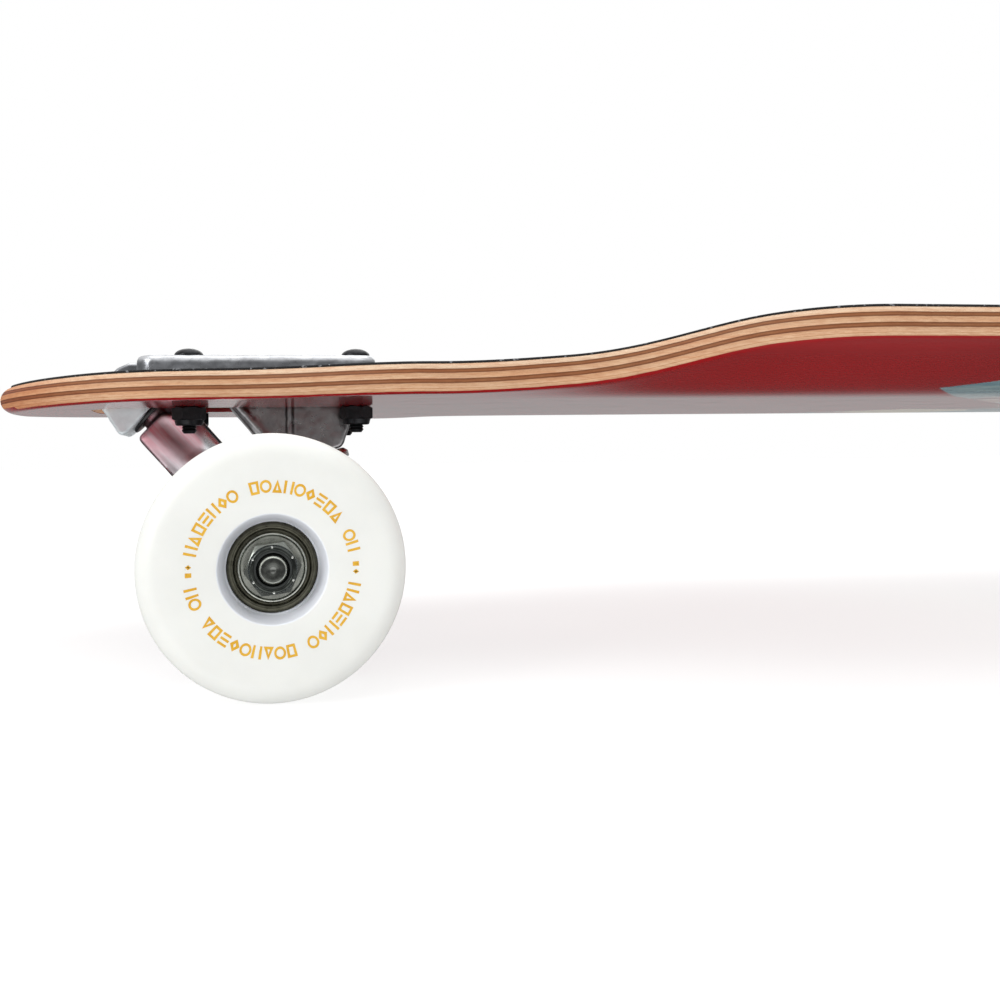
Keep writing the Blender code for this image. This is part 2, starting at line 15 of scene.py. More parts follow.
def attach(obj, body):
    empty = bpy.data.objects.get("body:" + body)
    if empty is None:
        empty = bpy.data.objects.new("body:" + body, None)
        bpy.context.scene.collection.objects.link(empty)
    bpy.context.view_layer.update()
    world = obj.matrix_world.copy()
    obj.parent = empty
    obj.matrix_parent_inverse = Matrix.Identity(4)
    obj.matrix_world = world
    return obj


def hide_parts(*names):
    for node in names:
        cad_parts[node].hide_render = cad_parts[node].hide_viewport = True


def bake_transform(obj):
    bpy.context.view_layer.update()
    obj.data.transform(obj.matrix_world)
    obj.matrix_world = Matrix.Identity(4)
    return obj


MM = 0.001

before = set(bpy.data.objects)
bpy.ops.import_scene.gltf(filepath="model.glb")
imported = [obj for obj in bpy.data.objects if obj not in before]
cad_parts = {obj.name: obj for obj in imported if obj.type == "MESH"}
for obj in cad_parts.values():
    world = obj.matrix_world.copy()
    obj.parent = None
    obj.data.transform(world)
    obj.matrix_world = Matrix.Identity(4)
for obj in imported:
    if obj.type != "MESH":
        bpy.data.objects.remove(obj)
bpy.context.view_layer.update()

# ---- sizes, as in the CAD ------------------------------------------------------
DECK_HALF_LENGTH = 470.0
DECK_UNDERSIDE = 76.3
DECK_THICKNESS = 8.45
GRIP_BASE, GRIP_TOP = 8.47, 9.02
NOSE_HALF_WIDTH, NOSE_LENGTH = 65.0, 90.0
TRUCK_X = 382.0
BOLT_U, BOLT_V = 26.99, 20.64
SPARE_HOLE_U = -36.5
FLANGE_U = (-43.4, 33.5)
FLANGE_HALF_WIDTH = 28.5
FLANGE_Z = (86.0, 92.6)
PIVOT = Vector((-45.0, 0.0, 81.0))
NOSE_DIR = Vector((-0.740, 0.0, 0.673)).normalized()
FACE_DIR = Vector((NOSE_DIR.z, 0.0, -NOSE_DIR.x))
PIVOT_MOUTH = 6.8
SEAT = Vector((12.4, 0.0, 60.0))
KING_DIR = Vector((0.2756, 0.0, -0.9613)).normalized()
SEAT_ALONG = Vector((-KING_DIR.z, 0.0, KING_DIR.x))
RING_CENTRE, RING_HALF = 21.1, 4.5
AXLE = Vector((-2.7, 0.0, 32.5))
WHEEL_RADIUS = 32.5
WHEEL_Y = (77.5, 121.5)

TRUCKS = {
    "front": Matrix.Translation((-TRUCK_X * MM, 0.0, 0.0)),
    "rear": Matrix.Rotation(math.pi, 4, "Z")
    @ Matrix.Translation((-TRUCK_X * MM, 0.0, 0.0)),
}


# ---- mesh helpers ----------------------------------------------------------------
def smoothstep(a, b, x):
    s = np.clip((np.asarray(x, float) - a) / (b - a), 0.0, 1.0)
    return s * s * (3.0 - 2.0 * s)


def made(name, points, faces):
    """A mesh object from points in millimetres, with its faces as given."""
    mesh = bpy.data.meshes.new(name)
    mesh.from_pydata([tuple(c * MM for c in p) for p in points], [], faces)
    obj = bpy.data.objects.new(name, mesh)
    bpy.context.scene.collection.objects.link(obj)
    return obj


def outward(obj, merge=0.0):
    bm = bmesh.new()
    bm.from_mesh(obj.data)
    if merge:
        bmesh.ops.remove_doubles(bm, verts=bm.verts, dist=merge * MM)
    bmesh.ops.recalc_face_normals(bm, faces=bm.faces)
    bm.to_mesh(obj.data)
    bm.free()
    return obj


def applied(obj):
    bpy.context.view_layer.update()
    graph = bpy.context.evaluated_depsgraph_get()
    mesh = bpy.data.meshes.new_from_object(obj.evaluated_get(graph))
    obj.modifiers.clear()
    old = obj.data
    obj.data = mesh
    bpy.data.meshes.remove(old)
    return obj


def coated(obj, material):
    """The whole of a mesh in one material."""
    mesh = obj.data
    mesh.materials.clear()
    mesh.materials.append(material)
    mesh.polygons.foreach_set("material_index", [0] * len(mesh.polygons))
    return obj


def coated_all(objects, material):
    for obj in objects:
        coated(obj, material)
    return objects


def smooth(obj, angle=35.0):
    obj.data.shade_smooth()
    obj.data.set_sharp_from_angle(angle=math.radians(angle))
    return obj


def rounded(points, radius=0.3, closed=True, steps=4):
    """An outline with its corners turned into arcs. A third number on a point
    is that corner's own radius."""
    flat = [Vector((p[0], p[1])) for p in points]
    own = [p[2] if len(p) > 2 else radius for p in points]
    n, out = len(flat), []
    for i, p in enumerate(flat):
        if own[i] <= 0.0 or (not closed and i in (0, n - 1)):
            out.append((p.x, p.y))
            continue
        a, b = flat[i - 1] - p, flat[(i + 1) % n] - p
        la, lb = a.length, b.length
        a.normalize()
        b.normalize()
        half = math.acos(max(-1.0, min(1.0, a.dot(b)))) / 2
        if half > math.radians(87.0) or half < 0.02:
            out.append((p.x, p.y))
            continue
        t = min(own[i] / math.tan(half), la * 0.48, lb * 0.48)
        r = t * math.tan(half)
        c = p + (a + b).normalized() * (r / math.sin(half))
        s, e = p + a * t - c, p + b * t - c
        a0, a1 = math.atan2(s.y, s.x), math.atan2(e.y, e.x)
        turn = (a1 - a0 + math.pi) % math.tau - math.pi
        for k in range(steps + 1):
            g = a0 + turn * k / steps
            out.append((c.x + r * math.cos(g), c.y + r * math.sin(g)))
    return out


def turned(name, profile, steps=64, ring=True):
    """A turned solid about local Z from (radius, height) points. A ring's
    profile is closed; otherwise both its ends lie on the axis."""
    points, index = [], []
    for r, h in profile:
        if r < 1e-6:
            index.append([len(points)])
            points.append((0.0, 0.0, h))
            continue
        index.append(list(range(len(points), len(points) + steps)))
        for k in range(steps):
            a = math.tau * k / steps
            points.append((r * math.cos(a), r * math.sin(a), h))
    faces = []
    pairs = list(zip(index, index[1:]))
    if ring:
        pairs.append((index[-1], index[0]))
    for one, two in pairs:
        if len(one) == 1 and len(two) == 1:
            continue
        for k in range(steps):
            m = (k + 1) % steps
            if len(one) == 1:
                faces.append((one[0], two[k], two[m]))
            elif len(two) == 1:
                faces.append((one[k], two[0], one[m]))
            else:
                faces.append((one[k], two[k], two[m], one[m]))
    return outward(made(name, points, faces))


def stacked(name, loops):
    """A closed solid through loops of points of one count, capped at both ends."""
    n = len(loops[0])
    points = [p for loop in loops for p in loop]
    faces = [tuple(range(n)), tuple(range(len(points) - 1, len(points) - n - 1, -1))]
    for i in range(len(loops) - 1):
        for k in range(n):
            m = (k + 1) % n
            faces.append((i * n + k, i * n + m, (i + 1) * n + m, (i + 1) * n + k))
    return outward(made(name, points, faces))


def plan(x0, x1, half, corner, inset, z, steps=6):
    """A rounded rectangle's loop at height z, drawn in from its outline."""
    r = max(corner - inset, 0.05)
    x0, x1, half = x0 + inset, x1 - inset, half - inset
    loop = []
    for cx, cy, a0 in (
        (x1 - r, half - r, 0.0), (x0 + r, half - r, 90.0),
        (x0 + r, r - half, 180.0), (x1 - r, r - half, 270.0),
    ):
        for k in range(steps + 1):
            a = math.radians(a0 + 90.0 * k / steps)
            loop.append((cx + r * math.cos(a), cy + r * math.sin(a), z))
    return loop


def polygon(sides, radius, z, turn=0.0):
    return [
        (
            radius * math.cos(math.tau * k / sides + turn),
            radius * math.sin(math.tau * k / sides + turn),
            z,
        )
        for k in range(sides)
    ]


def sidewise(name, outline, half, edge=1.0, segments=3):
    """A (u, z) outline as a solid to both sides of v = 0, its edges rounded."""
    n = len(outline)
    points = [(u, -half, z) for u, z in outline] + [(u, half, z) for u, z in outline]
    faces = [tuple(range(n)), tuple(range(2 * n - 1, n - 1, -1))]
    for k in range(n):
        m = (k + 1) % n
        faces.append((k, m, m + n, k + n))
    obj = outward(made(name, points, faces))
    if edge > 0.0:
        mod = obj.modifiers.new("Bevel", "BEVEL")
        mod.width = edge * MM
        mod.segments = segments
        mod.limit_method = "ANGLE"
        mod.angle_limit = math.radians(25.0)
        applied(obj)
    return obj


def along(origin, direction, roll=0.0):
    """Placement whose local Z runs along direction from origin, in millimetres."""
    z = Vector(direction).normalized()
    helper = Vector((0.0, 1.0, 0.0))
    if abs(z.dot(helper)) > 0.9:
        helper = Vector((0.0, 0.0, 1.0))
    x = helper.cross(z).normalized()
    y = z.cross(x)
    turn = Matrix((x, y, z)).transposed().to_4x4()
    return Matrix.Translation(Vector(origin) * MM) @ turn @ Matrix.Rotation(roll, 4, "Z")


def baked(obj, placement):
    obj.data.transform(placement)
    return obj


def merged(name, parts):
    """Several closed meshes as one object, with their materials kept."""
    bm = bmesh.new()
    materials = []
    for part in parts:
        before = len(bm.faces)
        bm.from_mesh(part.data)
        bm.faces.ensure_lookup_table()
        offset = len(materials)
        count = max(1, len(part.data.materials))
        for face in bm.faces[before:]:
            face.material_index = min(face.material_index, count - 1) + offset
        materials += list(part.data.materials) or [None]
    mesh = bpy.data.meshes.new(name)
    bm.to_mesh(mesh)
    bm.free()
    for mat in materials:
        mesh.materials.append(mat)
    for part in parts:
        old = part.data
        bpy.data.objects.remove(part)
        if old.users == 0:
            bpy.data.meshes.remove(old)
    obj = bpy.data.objects.new(name, mesh)
    bpy.context.scene.collection.objects.link(obj)
    return obj


def boolean(obj, other, operation="DIFFERENCE", solver="MANIFOLD"):
    before = len(obj.data.polygons)
    mod = obj.modifiers.new("Boolean", "BOOLEAN")
    mod.operation = operation
    mod.solver = solver
    mod.object = other
    bpy.context.view_layer.update()
    graph = bpy.context.evaluated_depsgraph_get()
    count = len(obj.evaluated_get(graph).data.polygons)
    if count == before and solver == "MANIFOLD":
        mod.solver = "EXACT"
    applied(obj)
    old = other.data
    bpy.data.objects.remove(other)
    bpy.data.meshes.remove(old)
    return obj


def remeshed(obj, voxel, smoothing=4):
    """Joined closed shapes as one skin, its inner corners filled a little."""
    mod = obj.modifiers.new("Remesh", "REMESH")
    mod.mode = "VOXEL"
    mod.voxel_size = voxel * MM
    applied(obj)
    if smoothing:
        mod = obj.modifiers.new("Smooth", "SMOOTH")
        mod.factor = 0.5
        mod.iterations = smoothing
        applied(obj)
    return obj


def roughened(obj, layers):
    """Points moved along their normals by layered noise: (size, depth) in mm."""
    mesh = obj.data
    n = len(mesh.vertices)
    co = np.empty(n * 3, np.float32)
    mesh.vertices.foreach_get("co", co)
    normal = np.empty(n * 3, np.float32)
    mesh.vertices.foreach_get("normal", normal)
    co, normal = co.reshape(-1, 3), normal.reshape(-1, 3)
    push = np.zeros(n, np.float32)
    for size, depth in layers:
        scaled = co * (1000.0 / size)
        push += depth * np.fromiter(
            (noise.noise((p[0], p[1], p[2])) for p in scaled.tolist()), np.float32, n
        )
    co = co + normal * (push * MM)[:, None]
    mesh.vertices.foreach_set("co", co.ravel().astype(np.float32))
    mesh.update()
    return obj


# ---- materials ---------------------------------------------------------------------
class Shader:
    """A Principled material and short calls for the nodes that feed it."""

    def __init__(self, name, **fixed):
        self.material = bpy.data.materials.new(name)
        self.material.use_nodes = True
        self.tree = self.material.node_tree
        self.tree.nodes.clear()
        self.end = self.tree.nodes.new("ShaderNodeOutputMaterial")
        self.bsdf = self.tree.nodes.new("ShaderNodeBsdfPrincipled")
        self.tree.links.new(self.bsdf.outputs[0], self.end.inputs[0])
        for key, value in fixed.items():
            self.set(key.replace("_", " "), value)

    def set(self, socket, value):
        target = self.bsdf.inputs[socket]
        if isinstance(value, bpy.types.NodeSocket):
            self.tree.links.new(value, target)
        else:
            target.default_value = (*value, 1.0) if isinstance(value, tuple) and len(value) == 3 and target.type == "RGBA" else value

    def node(self, kind, inputs=(), out=0, **props):
        made_node = self.tree.nodes.new("ShaderNode" + kind)
        for key, value in props.items():
            setattr(made_node, key, value)
        for key, value in dict(inputs).items():
            target = made_node.inputs[key]
            if isinstance(value, bpy.types.NodeSocket):
                self.tree.links.new(value, target)
            elif value is not None:
                if isinstance(value, tuple) and len(value) == 3 and target.type == "RGBA":
                    value = (*value, 1.0)
                target.default_value = value
        return made_node.outputs[out]

    def place(self):
        return self.node("TexCoord", out="Object")

    def math(self, operation, a, b=0.0, c=0.0, clamp=False):
        return self.node(
            "Math", {0: a, 1: b, 2: c}, operation=operation, use_clamp=clamp
        )

    def vmath(self, operation, a, b=(0.0, 0.0, 0.0), out=0):
        return self.node("VectorMath", {0: a, 1: b}, operation=operation, out=out)

    def parts(self, vector):
        split = self.tree.nodes.new("ShaderNodeSeparateXYZ")
        self.tree.links.new(vector, split.inputs[0])
        return split.outputs[0], split.outputs[1], split.outputs[2]

    def vector(self, x, y, z):
        return self.node("CombineXYZ", {0: x, 1: y, 2: z})

    def ease(self, value, a, b, low=0.0, high=1.0, linear=False):
        return self.node(
            "MapRange",
            {"Value": value, "From Min": a, "From Max": b, "To Min": low, "To Max": high},
            interpolation_type="LINEAR" if linear else "SMOOTHSTEP",
            clamp=True,
        )

    def noise(self, vector, scale, detail=4.0, roughness=0.55, distortion=0.0, out=0):
        return self.node(
            "TexNoise",
            {
                "Vector": vector, "Scale": scale, "Detail": detail,
                "Roughness": roughness, "Distortion": distortion,
            },
            out=out,
        )

    def cells(self, vector, scale, feature="F1", out=0, randomness=1.0):
        return self.node(
            "TexVoronoi",
            {"Vector": vector, "Scale": scale, "Randomness": randomness},
            feature=feature, out=out,
        )

    def mix(self, share, a, b, blend="MIX"):
        mixed = self.tree.nodes.new("ShaderNodeMix")
        mixed.data_type = "RGBA"
        mixed.blend_type = blend
        for index, value in ((0, share), (6, a), (7, b)):
            target = mixed.inputs[index]
            if isinstance(value, bpy.types.NodeSocket):
                self.tree.links.new(value, target)
            else:
                if isinstance(value, tuple) and len(value) == 3:
                    value = (*value, 1.0)
                target.default_value = value
        return mixed.outputs[2]

    def ramp(self, value, stops, constant=False):
        made_node = self.tree.nodes.new("ShaderNodeValToRGB")
        band = made_node.color_ramp
        band.interpolation = "CONSTANT" if constant else "LINEAR"
        while len(band.elements) < len(stops):
            band.elements.new(0.5)
        for element, (at, colour) in zip(band.elements, stops):
            element.position = at
            if not isinstance(colour, tuple):
                colour = (colour, colour, colour)
            element.color = (*colour, 1.0)
        self.tree.links.new(value, made_node.inputs[0])
        return made_node.outputs[0]

    def bump(self, height, distance, strength=1.0, after=None):
        inputs = {"Height": height, "Distance": distance * MM, "Strength": strength}
        if after is not None:
            inputs["Normal"] = after
        return self.node("Bump", inputs)


def srgb(r, g, b):
    """Linear colour of an 8-bit display colour."""
    return tuple(
        c / 12.92 if c <= 0.04045 else ((c + 0.055) / 1.055) ** 2.4
        for c in (r / 255.0, g / 255.0, b / 255.0)
    )


def scaled_place(s, x=1.0, y=1.0, z=1.0):
    return s.vmath("MULTIPLY", s.place(), (x, y, z))


def deck_material():
    """Seven maple plies on the cut edges, lacquered red paint underneath with
    a faceted graphic, and bare wood where the slot and holes are cut."""
    s = Shader("deck_maple", Coat_Roughness=0.09, Coat_IOR=1.5, Specular_IOR_Level=0.3)
    x, y, z = s.parts(s.place())
    mx = s.math("MULTIPLY", s.math("ABSOLUTE", x), 1000.0)
    my = s.math("MULTIPLY", s.math("ABSOLUTE", y), 1000.0)
    mz = s.math("MULTIPLY", z, 1000.0)
    tip = s.math("SUBTRACT", DECK_HALF_LENGTH, mx)
    rise = s.math("MULTIPLY", s.ease(tip, 131.0, 219.5), s.ease(my, 60.0, 121.0))
    droop = s.math("POWER", s.ease(tip, 0.0, 55.0, 1.0, 0.0, linear=True), 1.6)
    base = s.math("MULTIPLY_ADD", rise, 12.0, DECK_UNDERSIDE)
    base = s.math("MULTIPLY_ADD", droop, -1.6, base)
    height = s.math("DIVIDE", s.math("SUBTRACT", mz, base), DECK_THICKNESS)

    # plies: their boundaries waver a little along the board
    waver = s.noise(scaled_place(s, 30.0, 30.0, 0.0), 1.0, 3.0)
    fine = s.noise(scaled_place(s, 420.0, 420.0, 60.0), 1.0, 2.0)
    ply = s.math("MULTIPLY_ADD", s.math("SUBTRACT", waver, 0.5), 0.035, height)
    ply = s.math("MULTIPLY_ADD", s.math("SUBTRACT", fine, 0.5), 0.012, ply)
    light_a, light_b, light_c = srgb(220, 184, 150), srgb(203, 163, 128), srgb(226, 200, 172)
    dark_a, dark_b = srgb(156, 104, 66), srgb(112, 68, 38)
    glue = srgb(186, 136, 92)
    band = s.ramp(
        ply,
        [
            (0.0, light_b), (0.155, light_a), (0.17, glue), (0.185, light_a),
            (0.325, light_b), (0.345, dark_b), (0.41, dark_a), (0.475, dark_b),
            (0.495, light_a), (0.66, light_b), (0.68, dark_b), (0.74, dark_a),
            (0.80, dark_b), (0.82, light_c), (0.985, light_c), (1.0, light_a),
        ],
    )
    grain = s.noise(scaled_place(s, 260.0, 260.0, 2600.0), 1.0, 5.0, 0.65)
    streak = s.noise(scaled_place(s, 26.0, 26.0, 900.0), 1.0, 3.0)
    pores = s.cells(scaled_place(s, 900.0, 900.0, 5200.0), 1.0)
    wood = s.mix(
        s.ease(grain, 0.3, 0.75, 0.0, 0.5), band, s.mix(1.0, band, srgb(196, 140, 100), "MULTIPLY")
    )
    wood = s.mix(
        s.ease(streak, 0.35, 0.7, 0.0, 0.35), wood, s.mix(1.0, wood, srgb(255, 214, 178), "MULTIPLY")
    )
    wood = s.mix(s.ease(pores, 0.0, 0.35, 0.35, 0.0), wood, s.mix(1.0, wood, srgb(150, 105, 75), "MULTIPLY"))
    # the wood is darker and warmer towards the two tips
    wood = s.mix(
        s.ease(tip, 2.0, 42.0, 0.75, 0.0), wood, s.mix(1.0, wood, srgb(226, 172, 122), "MULTIPLY")
    )

    # paint: below the lowest tenth of the edge, and nowhere near the cut-outs
    near_cut = s.math("LESS_THAN", my, 17.5)
    outer_end = s.math("LESS_THAN", s.math("ABSOLUTE", s.math("SUBTRACT", mx, 440.5)), 5.5)
    inner_end = s.math("LESS_THAN", s.math("ABSOLUTE", s.math("SUBTRACT", mx, 350.5)), 5.5)
    bare = s.math("MULTIPLY", near_cut, s.math("MAXIMUM", outer_end, inner_end))
    long_side = s.math(
        "MULTIPLY", s.math("LESS_THAN", my, 24.0), s.math("GREATER_THAN", mx, 330.0)
    )
    limit = s.math("MULTIPLY_ADD", long_side, 0.09, 0.075)
    limit = s.math("MULTIPLY_ADD", bare, -0.15, limit)
    limit = s.math(
        "MULTIPLY_ADD",
        s.math("SUBTRACT", s.noise(scaled_place(s, 160.0, 160.0, 160.0), 1.0, 3.0), 0.5),
        0.03, limit,
    )
    painted = s.ease(s.math("SUBTRACT", limit, height), -0.008, 0.008)

    # the graphic: faceted panels inside a band whose ends are cut to a V
    gx = s.math("ABSOLUTE", s.math("MULTIPLY", x, 1000.0))
    swallow = s.math("MULTIPLY_ADD", s.math("SUBTRACT", 82.0, my), -1.05, 188.0)
    side = s.math("MINIMUM", 84.0, s.math("MULTIPLY_ADD", gx, -0.447, 155.9))
    inside = s.math(
        "MULTIPLY",
        s.ease(s.math("SUBTRACT", swallow, gx), -0.6, 0.6),
        s.ease(s.math("SUBTRACT", side, my), -0.5, 0.5),
    )
    facets = s.vmath("MULTIPLY", s.place(), (22.0, 34.0, 0.0))
    cell_colour = s.cells(facets, 1.0, out=1, randomness=0.85)
    edge = s.cells(facets, 1.0, feature="DISTANCE_TO_EDGE", randomness=0.85)
    pick = s.parts(cell_colour)[0]
    panel = s.ramp(
        pick,
        [
            (0.0, srgb(128, 168, 178)), (0.22, srgb(172, 200, 204)),
            (0.38, srgb(226, 212, 182)), (0.52, srgb(104, 142, 154)),
            (0.70, srgb(141, 34, 38)), (0.82, srgb(196, 160, 150)),
            (0.92, srgb(52, 78, 96)),
        ],
        constant=True,
    )
    lines = s.ease(edge, 0.012, 0.03, 1.0, 0.0)
    panel = s.mix(lines, panel, srgb(238, 228, 208))
    # the points of the band are plain pale blue, with fine streaks along them
    streak = s.noise(s.vmath("MULTIPLY", s.place(), (26.0, 520.0, 26.0)), 1.0, 4.0, 0.65)
    pale = s.mix(s.ease(streak, 0.35, 0.66), srgb(98, 134, 146), srgb(150, 172, 172))
    panel = s.mix(s.ease(gx, 142.0, 158.0), panel, pale)
    # a plain disc and ring in the middle of the band
    reach = s.vmath("LENGTH", s.vector(s.math("MULTIPLY", x, 1000.0), s.math("MULTIPLY", y, 1000.0), 0.0), out=1)
    disc = s.math("LESS_THAN", reach, 46.0)
    ring = s.math("MULTIPLY", s.math("GREATER_THAN", reach, 51.0), s.math("LESS_THAN", reach, 55.0))
    panel = s.mix(disc, panel, srgb(150, 30, 34))
    panel = s.mix(ring, panel, srgb(236, 226, 204))

    red_noise = s.noise(scaled_place(s, 9.0, 9.0, 9.0), 1.0, 4.0)
    red = s.mix(s.ease(red_noise, 0.3, 0.7), srgb(160, 12, 18), srgb(146, 9, 14))
    paint = s.mix(inside, red, panel)
    scuff = s.noise(s.vmath("MULTIPLY", s.place(), (60.0, 700.0, 60.0)), 1.0, 6.0, 0.7)
    paint = s.mix(s.ease(scuff, 0.68, 0.84, 0.0, 0.15), paint, srgb(190, 100, 90))

    s.set("Base Color", s.mix(painted, wood, paint))
    wood_rough = s.ease(grain, 0.2, 0.8, 0.42, 0.62, linear=True)
    paint_rough = s.math("MULTIPLY_ADD", s.ease(my, 100.0, 112.0), 0.34, s.ease(scuff, 0.3, 0.8, 0.20, 0.34, linear=True))
    s.set(
        "Roughness",
        s.node(
            "Mix", {0: painted, 2: wood_rough, 3: paint_rough}, data_type="FLOAT"
        ),
    )
    # the lacquer thins out towards the long edges
    thin = s.ease(my, 100.0, 112.0)
    s.set("Coat Weight", s.math("MULTIPLY", painted, s.math("MULTIPLY_ADD", thin, -0.8, 0.85)))
    steps = s.ramp(
        ply,
        [
            (0.0, 0.5), (0.165, 0.5), (0.17, 0.3), (0.18, 0.5), (0.33, 0.5),
            (0.345, 0.38), (0.475, 0.38), (0.49, 0.5), (0.67, 0.5), (0.685, 0.38),
            (0.80, 0.38), (0.815, 0.5), (1.0, 0.5),
        ],
    )
    relief = s.math("MULTIPLY_ADD", grain, 0.25, s.math("MULTIPLY", steps, 1.0))
    relief = s.math("MULTIPLY", relief, s.math("SUBTRACT", 1.0, painted))
    peel = s.math("MULTIPLY", s.noise(scaled_place(s, 340.0, 340.0, 340.0), 1.0, 2.0), painted)
    relief = s.math("MULTIPLY_ADD", peel, 0.022, relief)
    s.set("Normal", s.bump(relief, 0.18, 0.7))
    return s.material


def grip_material():
    """Silicon carbide grit on black film, a little greyed where feet rub."""
    s = Shader("grip_tape_black", Specular_IOR_Level=0.45)
    grit = s.cells(s.place(), 2600.0)
    sparkle = s.cells(s.place(), 1500.0, out=1)
    pick = s.parts(sparkle)[0]
    wear_and_highlights = s.noise(s.place(), 11.0, 4.0)
    base = s.mix(s.ease(wear_and_highlights, 0.42, 0.7), srgb(22, 22, 24), srgb(40, 40, 42))
    base = s.mix(s.ease(pick, 0.93, 0.96, 0.0, 0.8), base, srgb(120, 122, 126))
    s.set("Base Color", base)
    s.set("Roughness", s.ease(pick, 0.90, 0.96, 0.92, 0.35))
    coarse = s.noise(s.place(), 1400.0, 3.0, 0.7)
    height = s.math("MULTIPLY_ADD", coarse, 0.6, s.math("MULTIPLY", grit, 0.8))
    s.set("Normal", s.bump(height, 0.35, 0.9))
    return s.material


def cast_material():
    """Tumbled cast aluminium: pitted skin, brighter on its edges where it is rubbed and with a painted highlight along
    them, and painted shade on the flange's sides and on the parts under the deck.
    """
    s = Shader("cast_aluminium_tumbled", Metallic=1.0)
    place = s.place()
    cloud = s.noise(place, 120.0, 6.0, 0.65)
    blotch = s.noise(place, 330.0, 5.0, 0.7, 0.6)
    pits = s.cells(place, 900.0)
    base = s.mix(s.ease(cloud, 0.35, 0.68), srgb(188, 189, 192), srgb(214, 216, 219))
    base = s.mix(s.ease(blotch, 0.50, 0.68, 0.0, 0.35), base, srgb(150, 152, 157))
    # convex edges are painted brighter: partly rubbed metal, partly a painted highlight
    edge = s.node("NewGeometry", out="Pointiness")
    base = s.mix(s.ease(edge, 0.515, 0.56, 0.0, 0.85), base, srgb(240, 241, 243))
    # the pivot boss is blasted pale and matt; the rest of the casting under the deck is painted darker, a painted
    # shade, and is smoother than the boss
    blasted = s.ease(s.math("MULTIPLY", s.parts(place)[0], 1000.0), -43.5, -40.5, 1.0, 0.0)
    below = s.ease(s.math("MULTIPLY", s.parts(place)[2], 1000.0), 84.5, 86.0, 1.0, 0.0)
    blasted = s.math("MULTIPLY", blasted, below)
    base = s.mix(s.math("MULTIPLY", s.math("SUBTRACT", below, blasted), 0.8), base, s.mix(1.0, base, srgb(172, 167, 165), "MULTIPLY"))
    base = s.mix(blasted, base, s.mix(s.ease(cloud, 0.35, 0.68), srgb(228, 238, 242), srgb(243, 251, 254)))
    # painted shade: the flange's sides, between the deck and the rounding of the top face, are painted darker than the
    # top
    side = s.ease(s.math("MULTIPLY", s.parts(place)[2], 1000.0), 89.9, 91.4, 1.0, 0.0)
    side = s.math("MULTIPLY", side, s.math("SUBTRACT", 1.0, below))
    base = s.mix(s.math("MULTIPLY", side, 0.85), base, s.mix(1.0, base, srgb(164, 165, 168), "MULTIPLY"))
    s.set("Base Color", base)
    rough = s.ease(blotch, 0.3, 0.75, 0.24, 0.40, linear=True)
    s.set("Roughness", s.math("MULTIPLY_ADD", blasted, 0.2, rough))
    s.set("Metallic", s.math("MULTIPLY_ADD", blasted, -0.55, 1.0))
    height = s.math("MULTIPLY_ADD", blotch, 0.7, s.math("MULTIPLY", pits, 0.25))
    s.set("Normal", s.bump(height, 0.10, 0.5))
    return s.material


def polished_material():
    """Buffed aluminium with soft buffing lines and a slight waviness."""
    s = Shader("polished_aluminium_buffed", Metallic=1.0)
    lines = s.noise(s.vmath("MULTIPLY", s.place(), (900.0, 60.0, 900.0)), 1.0, 4.0, 0.6)
    wave = s.noise(s.place(), 90.0, 3.0)
    base = s.mix(s.ease(wave, 0.35, 0.7), srgb(206, 207, 211), srgb(226, 227, 231))
    # the arm that reaches up under the deck is painted rosy in streaks, a painted
    # reflection of the red deck above it; it is also brushed along its length, so it shines less sharply than the rest
    px, py, pz = s.parts(s.place())
    arm = s.math("MULTIPLY", s.ease(px, -0.0215, -0.0245, 0.0, 1.0), s.ease(s.math("ABSOLUTE", py), 0.0125, 0.0140, 1.0, 0.0))
    across = s.math("ADD", s.math("MULTIPLY", px, 0.74), s.math("MULTIPLY", pz, 0.67))
    brushed = s.noise(s.vector(s.math("MULTIPLY", across, 700.0), s.math("MULTIPLY", pz, 45.0), s.math("MULTIPLY", py, 45.0)), 1.0, 3.0, 0.6)
    painted_red_reflection = s.math("MULTIPLY", arm, s.ease(s.math("MULTIPLY_ADD", s.math("SUBTRACT", brushed, 0.5), 0.030, pz), 0.050, 0.070, 0.12, 1.0))
    base = s.mix(s.math("MULTIPLY", painted_red_reflection, s.ease(brushed, 0.30, 0.62, 1.0, 0.45)), base, srgb(208, 116, 130))
    s.set("Base Color", base)
    rough = s.ease(lines, 0.3, 0.75, 0.18, 0.32, linear=True)
    s.set("Roughness", s.math("ADD", rough, s.math("MULTIPLY", arm, s.ease(brushed, 0.3, 0.7, 0.10, 0.22))))
    height = s.math("MULTIPLY_ADD", wave, 1.0, s.math("MULTIPLY", lines, 0.10))
    s.set("Normal", s.bump(height, 0.10, 0.35))
    return s.material


